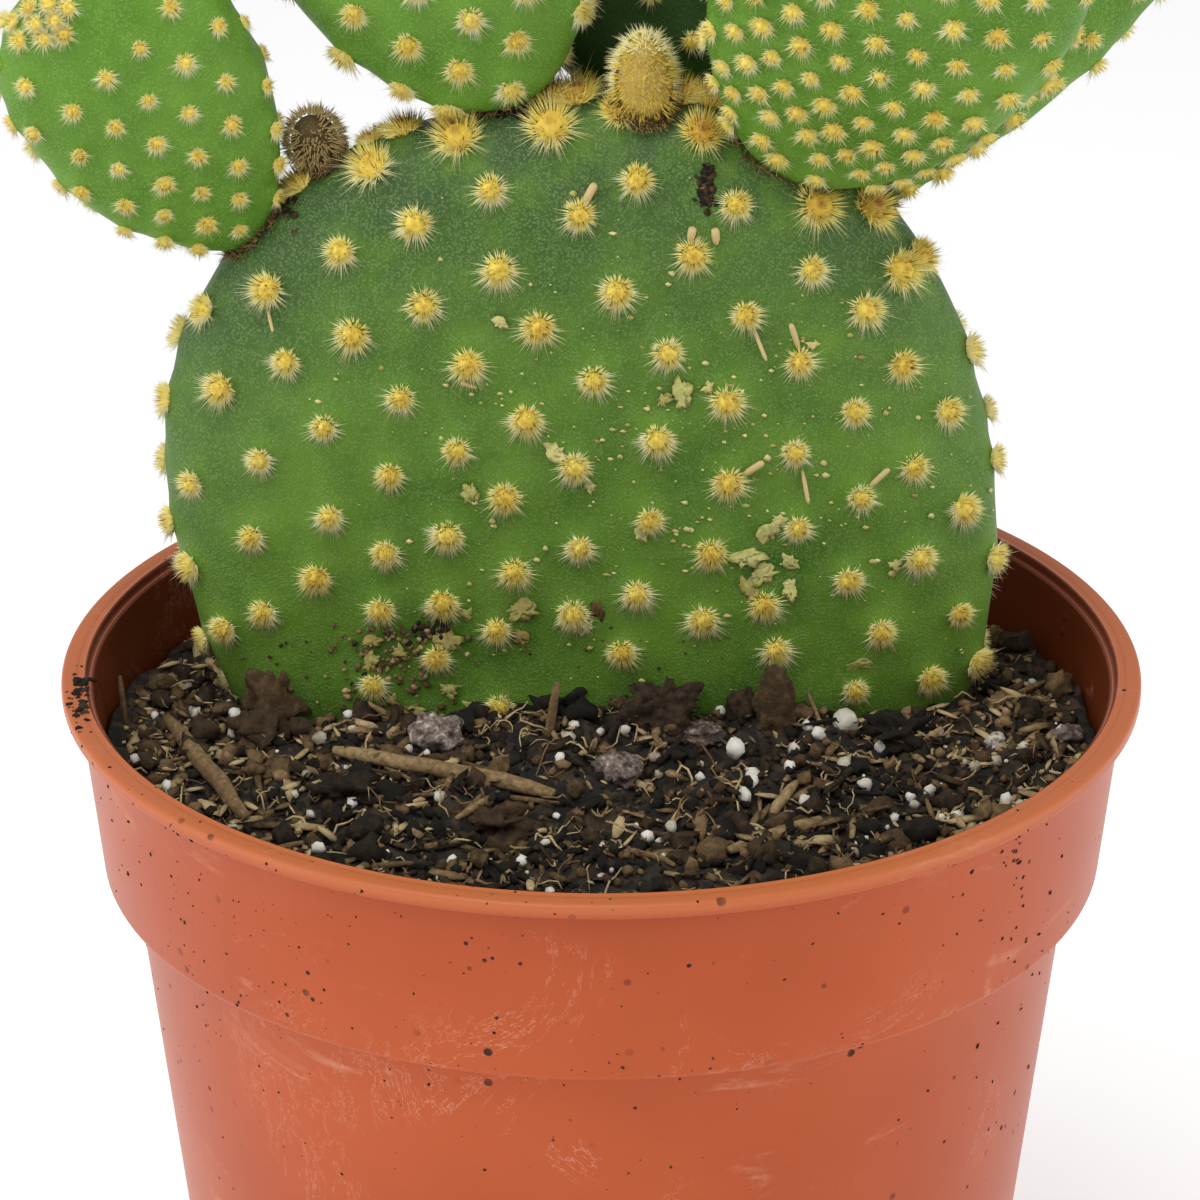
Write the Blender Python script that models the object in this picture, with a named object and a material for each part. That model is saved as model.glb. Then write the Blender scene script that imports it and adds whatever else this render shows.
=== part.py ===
"""Potted cactus: a jointed plant of flat pads with tufts of fine spines, in a nursery pot.

The origin is the centre of the pot's base, +Z is up and the plant's flat front faces -Y.
"""
import random
from collections import namedtuple
from math import atan2, cos, exp, pi, radians, sin, sqrt

import bmesh
import bpy
from mathutils import Matrix, Vector, noise
from mathutils.bvhtree import BVHTree
from mathutils.geometry import delaunay_2d_cdt

MM = 0.001
GAP = 0.3 * MM

# Pot: a tapered body, a stepped collar above it and a flat lip round the top.
POT_SIDES = 48
POT_HEIGHT = 92.0 * MM
LIP_RADIUS = 52.5 * MM
LIP_DEPTH = 1.6 * MM
LIP_FLAT = 2.3 * MM
COLLAR_TOP_RADIUS = 50.9 * MM
COLLAR_FOOT_RADIUS = 49.1 * MM
COLLAR_FOOT_HEIGHT = 72.2 * MM
BODY_TOP_RADIUS = 46.3 * MM
BASE_RADIUS = 38.3 * MM
WALL = 1.2 * MM
EDGE_ROUND = 0.5 * MM
FLOOR = 2.6 * MM
DRAIN_CHANNEL_DEPTH = 1.2 * MM
DRAIN_CHANNEL_INNER = 21.0 * MM
DRAIN_CHANNEL_OUTER = 33.5 * MM
DRAIN_HOLES = 6
DRAIN_HOLE_RADIUS = 4.0 * MM
DRAIN_RING_RADIUS = (DRAIN_CHANNEL_INNER + DRAIN_CHANNEL_OUTER) / 2
SIDES_PER_HOLE = POT_SIDES // DRAIN_HOLES

# Soil: low at the wall, higher beside the old pad and heaped against the pad's front.
SOIL_AT_WALL = 82.0 * MM
SOIL_BESIDE_PAD = 2.0 * MM
SOIL_BESIDE_REACH = 9.0 * MM
SOIL_HEAP = 3.7 * MM
HEAP_MIDDLE_Y = -5.0 * MM
HEAP_HALF_WIDTH = 26.0 * MM
HEAP_HALF_DEPTH = 17.0 * MM
SOIL_LUMP = 1.7 * MM
SOIL_LUMP_SPACING = 6.0 * MM
SOIL_RINGS = 10
SOIL_CORE_RADIUS = 2.0 * MM
GRAIN_COUNT = 22
GRAIN_RADIUS = (1.1 * MM, 2.2 * MM)
STICK_COUNT = 8
STICK_HALF_LENGTH = (3.5 * MM, 5.5 * MM)
STICK_RADIUS = (0.9 * MM, 1.4 * MM)
LITTER_RING = (24.0 * MM, 40.0 * MM)
LITTER_LIFT = 0.1 * MM

# Pads: the outline is a squared-off egg, the thickness profile a fuller one.
FLATNESS = 2.6

# Tufts stand in oblique rows. A row's step and the step to the next row are parts of the
# pitch, and the rows bow upwards towards the pad's sides.
FIRST_TUFT = (1.227, 0.641)
STEP_IN_ROW = Vector((-0.959, -0.226))
STEP_TO_ROW = Vector((0.552, -0.830))
ROW_BOW = 0.017
TUFT_STRAY = 0.06
CENTRE_RISE = 1.35 * MM
SPIKE_RISE = 0.55 * MM
SPIKE_REACH = 1.9 * MM
SPIKE_HANG = 0.25 * MM
TUFT_FOOT = 0.85 * MM
BUD_TUFT_SCALE = 0.65
LARGE_PITCH = 4.0

# Least room round a tuft: to its neighbours as a part of the pitch, to other pads and to soil.
TUFTS_APART = 0.62
TUFT_ROOM = 3.2 * MM
SOIL_ROOM = 2.3 * MM

# One pad: where it starts, which way it grows, where its back looks, its size, how much it
# narrows to the foot, how square its shoulders are, and how its tufts are set.
Pad = namedtuple("Pad", "name base axis back length half_width half_depth taper squareness "
                        "pitch spikes bare_points skin seed")

OLD_SKIN = (0.045, 0.130, 0.040)
YOUNG_SKIN = (0.120, 0.300, 0.045)
SHADED_SKIN = (0.030, 0.110, 0.022)
BUD_SKIN = (0.420, 0.330, 0.090)
DRY_SKIN = (0.180, 0.110, 0.040)

MAIN = Pad("main_pad", (9.3, 8, 57), (-0.225, 0, 1), (0, 1, 0),
           91, 40.2, 10, 1.18, 2.25, 7.6, 5, 150, OLD_SKIN, 1)
OFFSHOOTS = [
    Pad("left_pad", (-33.4, 6.5, 132.0), (-0.45, -0.15, 0.78), (-0.1, 1, 0),
        34, 11.7, 5.5, 1.45, 2.25, 5.6, 4, 80, YOUNG_SKIN, 2),
    Pad("upper_left_pad", (-8.1, 7, 145.7), (-0.37, 0.02, 0.95), (0, 1, 0),
        46, 16.8, 7.0, 1.29, 2.2, 7.6, 4, 120, YOUNG_SKIN, 3),
    Pad("rear_pad", (5.0, 14, 142.5), (0.0, 0.50, 1), (0, 1, 0),
        44, 17.5, 6.0, 1.30, 2.2, 7.6, 4, 120, SHADED_SKIN, 4),
    Pad("right_front_pad", (17.1, 5.2, 139.1), (0.40, -0.40, 0.90), (0, 1, 0),
        45, 16.7, 6.3, 1.44, 2.3, 6.0, 4, 110, YOUNG_SKIN, 5),
    Pad("right_rear_pad", (26.9, 11.0, 134.1), (0.30, 0.15, 0.88), (0, 1, 0),
        49, 19.0, 6.5, 1.98, 2.15, 7.4, 4, 120, YOUNG_SKIN, 6),
    Pad("young_bud", (4.0, 5.5, 144.5), (0, -0.1, 1), (0, 1, 0),
        9.5, 2.9, 2.7, 0.95, 2.0, 2.3, 3, 70, BUD_SKIN, 7),
    Pad("dry_bud", (-26.6, 8, 139.6), (-0.25, 0, 1), (0, 1, 0),
        5.6, 2.6, 2.6, 1.00, 2.0, 2.2, 3, 60, DRY_SKIN, 8),
]


def clear_scene():
    for thing in list(bpy.data.objects):
        bpy.data.objects.remove(thing, do_unlink=True)


def material(name, colour, roughness):
    finish = bpy.data.materials.new(name)
    finish.use_nodes = True
    shader = finish.node_tree.nodes["Principled BSDF"]
    shader.inputs["Base Color"].default_value = (*colour, 1)
    shader.inputs["Roughness"].default_value = roughness
    shader.inputs["Metallic"].default_value = 0
    finish.diffuse_color = (*colour, 1)
    return finish


def add_object(name, bm, *finishes):
    mesh = bpy.data.meshes.new(name)
    bm.to_mesh(mesh)
    bm.free()
    thing = bpy.data.objects.new(name, mesh)
    for finish in finishes:
        mesh.materials.append(finish)
    bpy.context.collection.objects.link(thing)
    return thing


def cut(thing, cutter):
    cutter.hide_render = True
    cutter.display_type = "WIRE"
    step = thing.modifiers.new("cut " + cutter.name, "BOOLEAN")
    step.operation = "DIFFERENCE"
    step.object = cutter


# Pot

def pot_outside():
    """Half section from the lip's inner edge over the outside to the drained channel."""
    return [
        (LIP_RADIUS - LIP_FLAT, POT_HEIGHT),
        (LIP_RADIUS - EDGE_ROUND, POT_HEIGHT),
        (LIP_RADIUS, POT_HEIGHT - EDGE_ROUND),
        (LIP_RADIUS, POT_HEIGHT - LIP_DEPTH),
        (COLLAR_TOP_RADIUS, POT_HEIGHT - LIP_DEPTH),
        (COLLAR_FOOT_RADIUS, COLLAR_FOOT_HEIGHT + EDGE_ROUND),
        (COLLAR_FOOT_RADIUS - EDGE_ROUND, COLLAR_FOOT_HEIGHT),
        (BODY_TOP_RADIUS, COLLAR_FOOT_HEIGHT - EDGE_ROUND),
        (BASE_RADIUS + EDGE_ROUND / 4, EDGE_ROUND),
        (BASE_RADIUS - EDGE_ROUND, 0),
        (DRAIN_CHANNEL_OUTER + EDGE_ROUND, 0),
        (DRAIN_CHANNEL_OUTER, DRAIN_CHANNEL_DEPTH),
    ]


def pot_inside():
    """Half section from the floor's edge up the inside."""
    step_drop = BODY_TOP_RADIUS - (COLLAR_FOOT_RADIUS - WALL)
    return [
        (BASE_RADIUS - WALL, FLOOR),
        (BODY_TOP_RADIUS - WALL, COLLAR_FOOT_HEIGHT - WALL + step_drop / 2),
        (COLLAR_FOOT_RADIUS - WALL, COLLAR_FOOT_HEIGHT + EDGE_ROUND),
        (COLLAR_TOP_RADIUS - WALL, POT_HEIGHT - LIP_DEPTH),
    ]


def turned_ring(bm, radius, height, step_out=None):
    """A ring of points round the axis.

    Rings with a step_out of -1, 0 or 1 run inside, through and outside the drain holes'
    middles. There the points next to a middle stand on the hole's rim, and the middle has none.
    """
    ring = []
    for side in range(POT_SIDES):
        step_round = (side % SIDES_PER_HOLE) - SIDES_PER_HOLE // 2
        out, across, bearing = radius, 0, 2 * pi * side / POT_SIDES
        if step_out is not None and abs(step_round) <= 1:
            if step_out == 0 and step_round == 0:
                ring.append(None)
                continue
            around = atan2(step_round, step_out)
            out = DRAIN_RING_RADIUS + DRAIN_HOLE_RADIUS * cos(around)
            across = DRAIN_HOLE_RADIUS * sin(around)
            bearing = 2 * pi * (side - step_round) / POT_SIDES
        ring.append(bm.verts.new((out * cos(bearing) - across * sin(bearing),
                                  out * sin(bearing) + across * cos(bearing), height)))
    return ring


def drain_rings(bm, height):
    """The rings through and beside the drain holes, from the innermost to the outermost."""
    return [turned_ring(bm, DRAIN_RING_RADIUS + step * DRAIN_HOLE_RADIUS, height, step)
            for step in (-1, 0, 1)]


def sew(bm, rings):
    """Faces between rings that follow each other, with none at a hole's middle."""
    for upper, lower in zip(rings, rings[1:]):
        for side in range(POT_SIDES):
            after = (side + 1) % POT_SIDES
            corners = (upper[side], lower[side], lower[after], upper[after])
            if None not in corners:
                bm.faces.new(corners)


def close_at_axis(bm, ring, height):
    middle = bm.verts.new((0, 0, height))
    for side in range(POT_SIDES):
        bm.faces.new((ring[side], ring[(side + 1) % POT_SIDES], middle))


def wall_drain_holes(bm, below, above):
    """The walls of the eight-sided holes, between the channel's face and the floor."""
    rim = [(2, -1), (2, 0), (2, 1), (1, 1), (0, 1), (0, 0), (0, -1), (1, -1)]
    for hole in range(DRAIN_HOLES):
        middle = hole * SIDES_PER_HOLE + SIDES_PER_HOLE // 2
        for start, end in zip(rim, rim[1:] + rim[:1]):
            corners = [rings[ring][middle + side]
                       for rings, (ring, side) in ((below, start), (below, end),
                                                   (above, end), (above, start))]
            bm.faces.new(corners)


def make_pot():
    bm = bmesh.new()
    outside = [turned_ring(bm, radius, height) for radius, height in pot_outside()]
    below = drain_rings(bm, DRAIN_CHANNEL_DEPTH)
    centre = [turned_ring(bm, DRAIN_CHANNEL_INNER, DRAIN_CHANNEL_DEPTH),
              turned_ring(bm, DRAIN_CHANNEL_INNER - EDGE_ROUND, 0)]
    above = drain_rings(bm, FLOOR)
    inside = [turned_ring(bm, radius, height) for radius, height in pot_inside()]
    sew(bm, outside + below[::-1] + centre)
    close_at_axis(bm, centre[-1], 0)
    sew(bm, above + inside + outside[:1])
    close_at_axis(bm, above[0], FLOOR)
    wall_drain_holes(bm, below, above)
    bmesh.ops.recalc_face_normals(bm, faces=bm.faces[:])
    pot = add_object("pot", bm, material("terracotta_plastic", (0.560, 0.120, 0.050), 0.42))
    pot.data.shade_smooth()
    pot.data.set_sharp_from_angle(angle=radians(40))
    return pot


# Soil

def soil_top(x, y):
    """Height of the soil: a low heap in front of the pad, with lumps all over."""
    from_pad = max(abs(y - MAIN.base[1] * MM) - MAIN.half_depth * MM, 0)
    beside_pad = SOIL_BESIDE_PAD * exp(-(from_pad / SOIL_BESIDE_REACH) ** 2)
    out = (x / HEAP_HALF_WIDTH) ** 2 + ((y - HEAP_MIDDLE_Y) / HEAP_HALF_DEPTH) ** 2
    lump = SOIL_LUMP * noise.noise(Vector((x, y, 0)) / SOIL_LUMP_SPACING)
    return SOIL_AT_WALL + beside_pad + SOIL_HEAP * exp(-out) + lump


def soil_radius(height):
    """Radius of the pot's inside at a height, less the gap."""
    if height > COLLAR_FOOT_HEIGHT:
        rise = (height - COLLAR_FOOT_HEIGHT) / (POT_HEIGHT - LIP_DEPTH - COLLAR_FOOT_HEIGHT)
        outside = COLLAR_FOOT_RADIUS + rise * (COLLAR_TOP_RADIUS - COLLAR_FOOT_RADIUS)
    else:
        rise = height / COLLAR_FOOT_HEIGHT
        outside = BASE_RADIUS + rise * (BODY_TOP_RADIUS - BASE_RADIUS)
    return outside - WALL - 1.5 * GAP


def soil_rings():
    """Rings from the middle of the top over the edge and down the side to the bottom."""
    rim = soil_radius(SOIL_AT_WALL)
    rings = []
    for ring in range(SOIL_RINGS + 1):
        rings.append((SOIL_CORE_RADIUS + (rim - SOIL_CORE_RADIUS) * ring / SOIL_RINGS, None))
    ledge = COLLAR_FOOT_HEIGHT + 2 * MM
    rings.append((soil_radius(ledge), ledge))
    rings.append((soil_radius(COLLAR_FOOT_HEIGHT - 3 * MM), COLLAR_FOOT_HEIGHT - 3 * MM))
    rings.append((soil_radius(FLOOR), FLOOR + GAP))
    return rings


def soil_body(finish):
    bm = bmesh.new()
    loops = []
    for radius, height in soil_rings():
        loop = []
        for side in range(POT_SIDES):
            angle = 2 * pi * side / POT_SIDES
            x = radius * cos(angle)
            y = radius * sin(angle)
            loop.append(bm.verts.new((x, y, soil_top(x, y) if height is None else height)))
        loops.append(loop)
    for upper, lower in zip(loops, loops[1:]):
        for side in range(POT_SIDES):
            after = (side + 1) % POT_SIDES
            bm.faces.new((upper[side], lower[side], lower[after], upper[after]))
    bm.faces.new(loops[0])
    bm.faces.new(reversed(loops[-1]))
    bmesh.ops.triangulate(bm, faces=bm.faces[:])
    bmesh.ops.recalc_face_normals(bm, faces=bm.faces[:])
    return add_object("soil", bm, finish)


def soil_litter():
    """Grains and short sticks, half sunk in the soil and clear of the pad and the wall.

    Three in four lie in front of the pad, the rest behind it.
    """
    draw = random.Random(21)
    pieces = bpy.data.collections.new("litter")
    bpy.context.scene.collection.children.link(pieces)
    for index in range(GRAIN_COUNT + STICK_COUNT):
        angle = radians(draw.uniform(185, 355) if index % 4 else draw.uniform(40, 140))
        radius = draw.uniform(*LITTER_RING)
        x = radius * cos(angle)
        y = radius * sin(angle) + (6 * MM if sin(angle) > 0 else 0)
        bm = bmesh.new()
        if index < GRAIN_COUNT:
            bmesh.ops.create_icosphere(bm, subdivisions=1, radius=draw.uniform(*GRAIN_RADIUS))
            stretch = (1, draw.uniform(0.7, 1.1), draw.uniform(0.6, 0.9))
            bmesh.ops.scale(bm, vec=stretch, verts=bm.verts[:])
        else:
            half = draw.uniform(*STICK_HALF_LENGTH)
            thick = draw.uniform(*STICK_RADIUS)
            bmesh.ops.create_cone(bm, cap_ends=True, segments=5, radius1=thick,
                                  radius2=0.7 * thick, depth=2 * half)
            bmesh.ops.rotate(bm, cent=(0, 0, 0), verts=bm.verts[:],
                             matrix=Matrix.Rotation(radians(90), 3, "Y"))
        turn = Matrix.Rotation(draw.uniform(0, pi), 3, "Z")
        bmesh.ops.rotate(bm, cent=(0, 0, 0), verts=bm.verts[:], matrix=turn)
        bmesh.ops.translate(bm, vec=(x, y, soil_top(x, y) + LITTER_LIFT), verts=bm.verts[:])
        piece = add_object("litter_%d" % index, bm)
        bpy.context.collection.objects.unlink(piece)
        pieces.objects.link(piece)
    return pieces


def fuse(thing, pieces):
    """One union joins the pieces to the thing, and the pieces are then removed."""
    step = thing.modifiers.new("fuse", "BOOLEAN")
    step.operation = "UNION"
    step.operand_type = "COLLECTION"
    step.collection = pieces
    step.solver = "MANIFOLD"
    bpy.context.view_layer.objects.active = thing
    bpy.ops.object.modifier_apply(modifier=step.name)
    for piece in list(pieces.objects):
        bpy.data.objects.remove(piece, do_unlink=True)
    bpy.data.collections.remove(pieces)


def make_soil(pad_clearance):
    peat = material("potting_soil", (0.028, 0.020, 0.014), 0.95)
    soil = soil_body(peat)
    fuse(soil, soil_litter())
    cut(soil, pad_clearance)
    return soil


# Pads

def pad_placement(pad):
    """Matrix from a pad's own axes (x across, y to its back, z from foot to tip)."""
    up = Vector(pad.axis).normalized()
    back = Vector(pad.back)
    back = (back - back.dot(up) * up).normalized()
    across = back.cross(up)
    turn = Matrix((across, back, up)).transposed().to_4x4()
    return Matrix.Translation(Vector(pad.base) * MM) @ turn


def skin_point(pad, way):
    """The point of the pad's skin that a unit vector from its middle stands for."""
    flat = (abs(way.x) ** pad.squareness + abs(way.z) ** pad.squareness) ** (1 / pad.squareness)
    reach = (flat ** FLATNESS + abs(way.y) ** FLATNESS) ** (-1 / FLATNESS)
    along = max((1 + reach * way.z) / 2, 0) ** (1 / pad.taper)
    return MM * Vector((pad.half_width * reach * way.x,
                        pad.half_depth * reach * way.y,
                        pad.length * along))


def skin_way(pad, x, z, side):
    """The unit vector of the front (-1) or back (1) skin over a point of the mid-plane."""
    across = x / pad.half_width
    along = 2 * max(z / pad.length, 0) ** pad.taper - 1
    flat = (abs(across) ** pad.squareness + abs(along) ** pad.squareness) ** (1 / pad.squareness)
    if flat >= 1:
        return None
    depth = side * (1 - flat ** FLATNESS) ** (1 / FLATNESS)
    return Vector((across, depth, along)).normalized()


def skin_tangents(pad, way):
    """Two unit vectors square to the way, and how the skin moves along each."""
    first = way.orthogonal().normalized()
    second = way.cross(first)
    tiny = 0.001
    here = skin_point(pad, way)
    along_first = (skin_point(pad, (way + tiny * first).normalized()) - here) / tiny
    along_second = (skin_point(pad, (way + tiny * second).normalized()) - here) / tiny
    return first, second, along_first, along_second


def skin_normal(pad, way):
    _, _, along_first, along_second = skin_tangents(pad, way)
    return along_first.cross(along_second).normalized()


def way_beside(pad, way, offset):
    """The unit vector of the skin point that lies at an offset along the skin."""
    first, second, u, v = skin_tangents(pad, way)
    to_skin = Matrix(((u.dot(u), u.dot(v)), (u.dot(v), v.dot(v))))
    part = to_skin.inverted() @ Vector((offset.dot(u), offset.dot(v)))
    return (way + part.x * first + part.y * second).normalized()


def face_sites(pad, draw):
    """Oblique rows of tufts on both faces, as growth leaves them."""
    start = Vector((FIRST_TUFT[0] * pad.pitch, FIRST_TUFT[1] * pad.length))
    reach = int(1.5 * pad.length / pad.pitch)
    sites = []
    for side in (-1, 1):
        for i in range(-reach, reach):
            for j in range(-reach, reach):
                step = i * STEP_IN_ROW + j * STEP_TO_ROW
                step.y += ROW_BOW * (i * i + i * j + j * j)
                stray = TUFT_STRAY * Vector((draw.uniform(-1, 1), draw.uniform(-1, 1)))
                spot = start + pad.pitch * (step + stray)
                way = skin_way(pad, -side * spot.x, spot.y, side)
                if way:
                    sites.append(way)
    return sites


def rim_sites(pad, draw):
    """Tufts along the narrow rim, every other one a little to the front."""
    around = 2 * pi * (pad.half_width + pad.length / 2) / 2
    count = max(int(around / (0.8 * pad.pitch)), 6)
    sites = []
    for index in range(count):
        angle = 2 * pi * index / count + draw.uniform(-0.03, 0.03)
        lean = 0.16 * (1 if index % 2 else -1)
        sites.append(Vector((sin(angle), lean, -cos(angle))).normalized())
    return sites


def is_free(point, others):
    """True where a tuft at the point stays clear of every other body and of the soil."""
    if point.z < soil_top(point.x, point.y) + SOIL_ROOM:
        return False
    for tree in others:
        nearest, normal, _, distance = tree.find_nearest(point)
        if distance < TUFT_ROOM or (point - nearest).dot(normal) < 0:
            return False
    return True


def tuft_sites(pad, others):
    """The ways of all tufts: near ones are thinned out, and hidden ones left off."""
    draw = random.Random(pad.seed)
    place = pad_placement(pad)
    kept = []
    for way in face_sites(pad, draw) + rim_sites(pad, draw):
        point = skin_point(pad, way)
        gaps = [(point - skin_point(pad, other)).length for other in kept]
        if min(gaps, default=1) < TUFTS_APART * pad.pitch * MM:
            continue
        if is_free(place @ point, others):
            kept.append(way)
    return kept


def bare_ways(pad, sites):
    """Evenly spread points between the tufts, which keep the skin round."""
    ways = []
    golden = pi * (3 - sqrt(5))
    room = TUFT_FOOT + 0.16 * pad.pitch * MM
    for index in range(pad.bare_points):
        height = 1 - 2 * (index + 0.5) / pad.bare_points
        ring = sqrt(1 - height * height)
        way = Vector((ring * cos(golden * index), ring * sin(golden * index), height))
        point = skin_point(pad, way)
        if all((point - skin_point(pad, site)).length > room for site in sites):
            ways.append(way)
    return ways


def skin_net(ways):
    """Triangles between points of the unit sphere.

    The sphere is laid flat from its foot, the points are joined there, and the outermost
    ones are joined to the foot, which comes last.
    """
    flat = [Vector((way.x, way.y)) / (1 + way.z) for way in ways]
    triangles = delaunay_2d_cdt(flat, [], [], 0, 1e-7)[2]
    edges = set()
    for triangle in triangles:
        for a, b in zip(triangle, triangle[1:] + triangle[:1]):
            edges.add((a, b))
    foot = len(ways)
    for a, b in list(edges):
        if (b, a) not in edges:
            triangles.append([b, a, foot])
    return triangles


def tuft_scale(pad):
    return 1 if pad.pitch > LARGE_PITCH else BUD_TUFT_SCALE


def pad_ways(pad, sites):
    """The ways of all skin points: each tuft's middle and foot ring, then the bare ones."""
    foot = tuft_scale(pad) * TUFT_FOOT
    ways = []
    for number, site in enumerate(sites):
        ways.append(site)
        _, _, along, _ = skin_tangents(pad, site)
        normal = skin_normal(pad, site)
        arm = along.normalized() * foot
        for spike in range(pad.spikes):
            turn = Matrix.Rotation(2 * pi * spike / pad.spikes + number, 3, normal)
            ways.append(way_beside(pad, site, turn @ arm))
    return ways + bare_ways(pad, sites)


def pad_skin(pad, ways, grow):
    """The bare skin as a mesh, moved outwards by grow."""
    bm = bmesh.new()
    place = pad_placement(pad)
    for way in ways:
        bm.verts.new(place @ (skin_point(pad, way) + grow * skin_normal(pad, way)))
    bm.verts.new(place @ Vector((0, 0, -grow)))
    bm.verts.ensure_lookup_table()
    for triangle in skin_net(ways):
        bm.faces.new([bm.verts[corner] for corner in triangle])
    bmesh.ops.recalc_face_normals(bm, faces=bm.faces[:])
    return bm


def raise_tufts(pad, bm, sites):
    """Each face round a tuft's middle becomes a spike, and the middle is lifted."""
    draw = random.Random(pad.seed + 100)
    turn = pad_placement(pad).to_3x3()
    scale = tuft_scale(pad)
    bm.verts.ensure_lookup_table()
    middles = [bm.verts[number * (pad.spikes + 1)] for number in range(len(sites))]
    for site, middle in zip(sites, middles):
        normal = turn @ skin_normal(pad, site)
        start = middle.co.copy()
        for point in bmesh.ops.poke(bm, faces=list(middle.link_faces))["verts"]:
            out = point.co - start
            out = (out - out.dot(normal) * normal).normalized()
            reach = SPIKE_REACH * draw.uniform(0.85, 1.15) - SPIKE_HANG * out.z
            point.co = start + scale * (reach * out + SPIKE_RISE * normal)
            for face in point.link_faces:
                face.material_index = 1
        middle.co = start + scale * CENTRE_RISE * normal


def smooth_body(pad):
    """A search tree of the bare pad, to keep tufts away from it."""
    bm = pad_skin(pad, bare_ways(pad, []), 0)
    tree = BVHTree.FromBMesh(bm)
    bm.free()
    return tree


def make_plant(glochids):
    """The old pad with its offshoots, whose feet are cut to its rim."""
    pads = [MAIN] + OFFSHOOTS
    bodies = {pad.name: smooth_body(pad) for pad in pads}
    clearance = None
    for pad in pads:
        others = [tree for name, tree in bodies.items() if name != pad.name]
        sites = tuft_sites(pad, others)
        ways = pad_ways(pad, sites)
        bm = pad_skin(pad, ways, 0)
        raise_tufts(pad, bm, sites)
        bmesh.ops.recalc_face_normals(bm, faces=bm.faces[:])
        thing = add_object(pad.name, bm, material(pad.name + "_skin", pad.skin, 0.6), glochids)
        if pad is MAIN:
            clearance = add_object("main_pad_clearance", pad_skin(pad, ways, GAP))
        else:
            cut(thing, clearance)
    return clearance


def build():
    clear_scene()
    make_pot()
    glochids = material("glochids", (0.700, 0.480, 0.100), 0.8)
    make_soil(make_plant(glochids))


build()
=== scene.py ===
from collections import namedtuple
from math import cos, exp, pi, radians, sin, sqrt

import bpy
import numpy as np
from mathutils import Matrix, Vector, noise
from mathutils.bvhtree import BVHTree
from mathutils.kdtree import KDTree


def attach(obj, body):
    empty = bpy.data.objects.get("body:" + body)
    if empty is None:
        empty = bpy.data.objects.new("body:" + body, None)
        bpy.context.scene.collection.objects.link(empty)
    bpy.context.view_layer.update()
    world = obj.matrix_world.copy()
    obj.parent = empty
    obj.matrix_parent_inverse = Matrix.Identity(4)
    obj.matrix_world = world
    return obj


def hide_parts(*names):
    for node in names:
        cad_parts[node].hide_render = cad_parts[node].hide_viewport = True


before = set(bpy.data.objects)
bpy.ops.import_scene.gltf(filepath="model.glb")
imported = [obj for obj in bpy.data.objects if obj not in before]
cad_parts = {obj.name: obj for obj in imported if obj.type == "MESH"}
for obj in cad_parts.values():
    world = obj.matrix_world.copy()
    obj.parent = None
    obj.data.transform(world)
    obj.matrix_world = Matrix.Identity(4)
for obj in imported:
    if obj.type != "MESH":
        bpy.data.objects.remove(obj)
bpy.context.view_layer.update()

MM = 0.001

# Camera, which looks down on the pot from the front as in the photo.
CAMERA_PLACE = Vector((-0.13, -443.64, 295.56)) * MM
CAMERA_PITCH = radians(24)
CAMERA_LENS = 150
CAMERA_SENSOR = 36
FLOOR_GLOW = 0.35
PHOTO_SIDE = 1200

# Pot, turned round the Z axis.
POT_HEIGHT = 92.0 * MM
LIP_RADIUS = 52.5 * MM
LIP_DEPTH = 1.6 * MM
COLLAR_TOP_RADIUS = 50.9 * MM
COLLAR_FOOT_RADIUS = 49.1 * MM
COLLAR_FOOT_HEIGHT = 72.2 * MM
BODY_TOP_RADIUS = 46.3 * MM
BASE_RADIUS = 38.3 * MM
WALL = 1.2 * MM
FLOOR = 2.6 * MM
CHANNEL_DEPTH = 1.2 * MM
CHANNEL_INNER = 21.0 * MM
CHANNEL_OUTER = 33.5 * MM
DRAIN_HOLES = 6
DRAIN_HOLE_RADIUS = 4.0 * MM
POT_SIDES = 160

# Soil: a low heap in front of the pad.
GAP = 0.3 * MM
SOIL_AT_WALL = 82.0 * MM
SOIL_BESIDE_PAD = 2.0 * MM
SOIL_BESIDE_REACH = 9 * MM
SOIL_HEAP = 3.7 * MM
HEAP_MIDDLE_Y = -5 * MM
HEAP_HALF_WIDTH = 26 * MM
HEAP_HALF_DEPTH = 17 * MM
SOIL_LUMP = 1.7 * MM
SOIL_LUMP_SPACING = 6 * MM
SOIL_RINGS = 78
SOIL_SIDES = 216

# Pads. The tufts stand in oblique rows; a row's step and the step to the next row are parts of
# the pitch, and the rows bow upwards towards the pad's sides.
FLATNESS = 2.6
FIRST_TUFT = (1.227, 0.641)
STEP_IN_ROW = Vector((-0.959, -0.226))
STEP_TO_ROW = Vector((0.552, -0.830))
ROW_BOW = 0.017
TUFT_STRAY = 0.06
TUFTS_APART = 0.62
TUFT_ROOM = 1.6 * MM
SOIL_ROOM = 1.2 * MM

# One pad: where it starts, which way it grows, where its back looks, its size, how much it
# narrows to the foot, how square its shoulders are, the pitch of its tufts, how large they are,
# how many bristles and long hairs each has, and how finely its skin is divided.
Pad = namedtuple("Pad", "name base axis back length half_width half_depth taper squareness "
                        "pitch seed tuft bristles hairs fineness")

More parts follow.
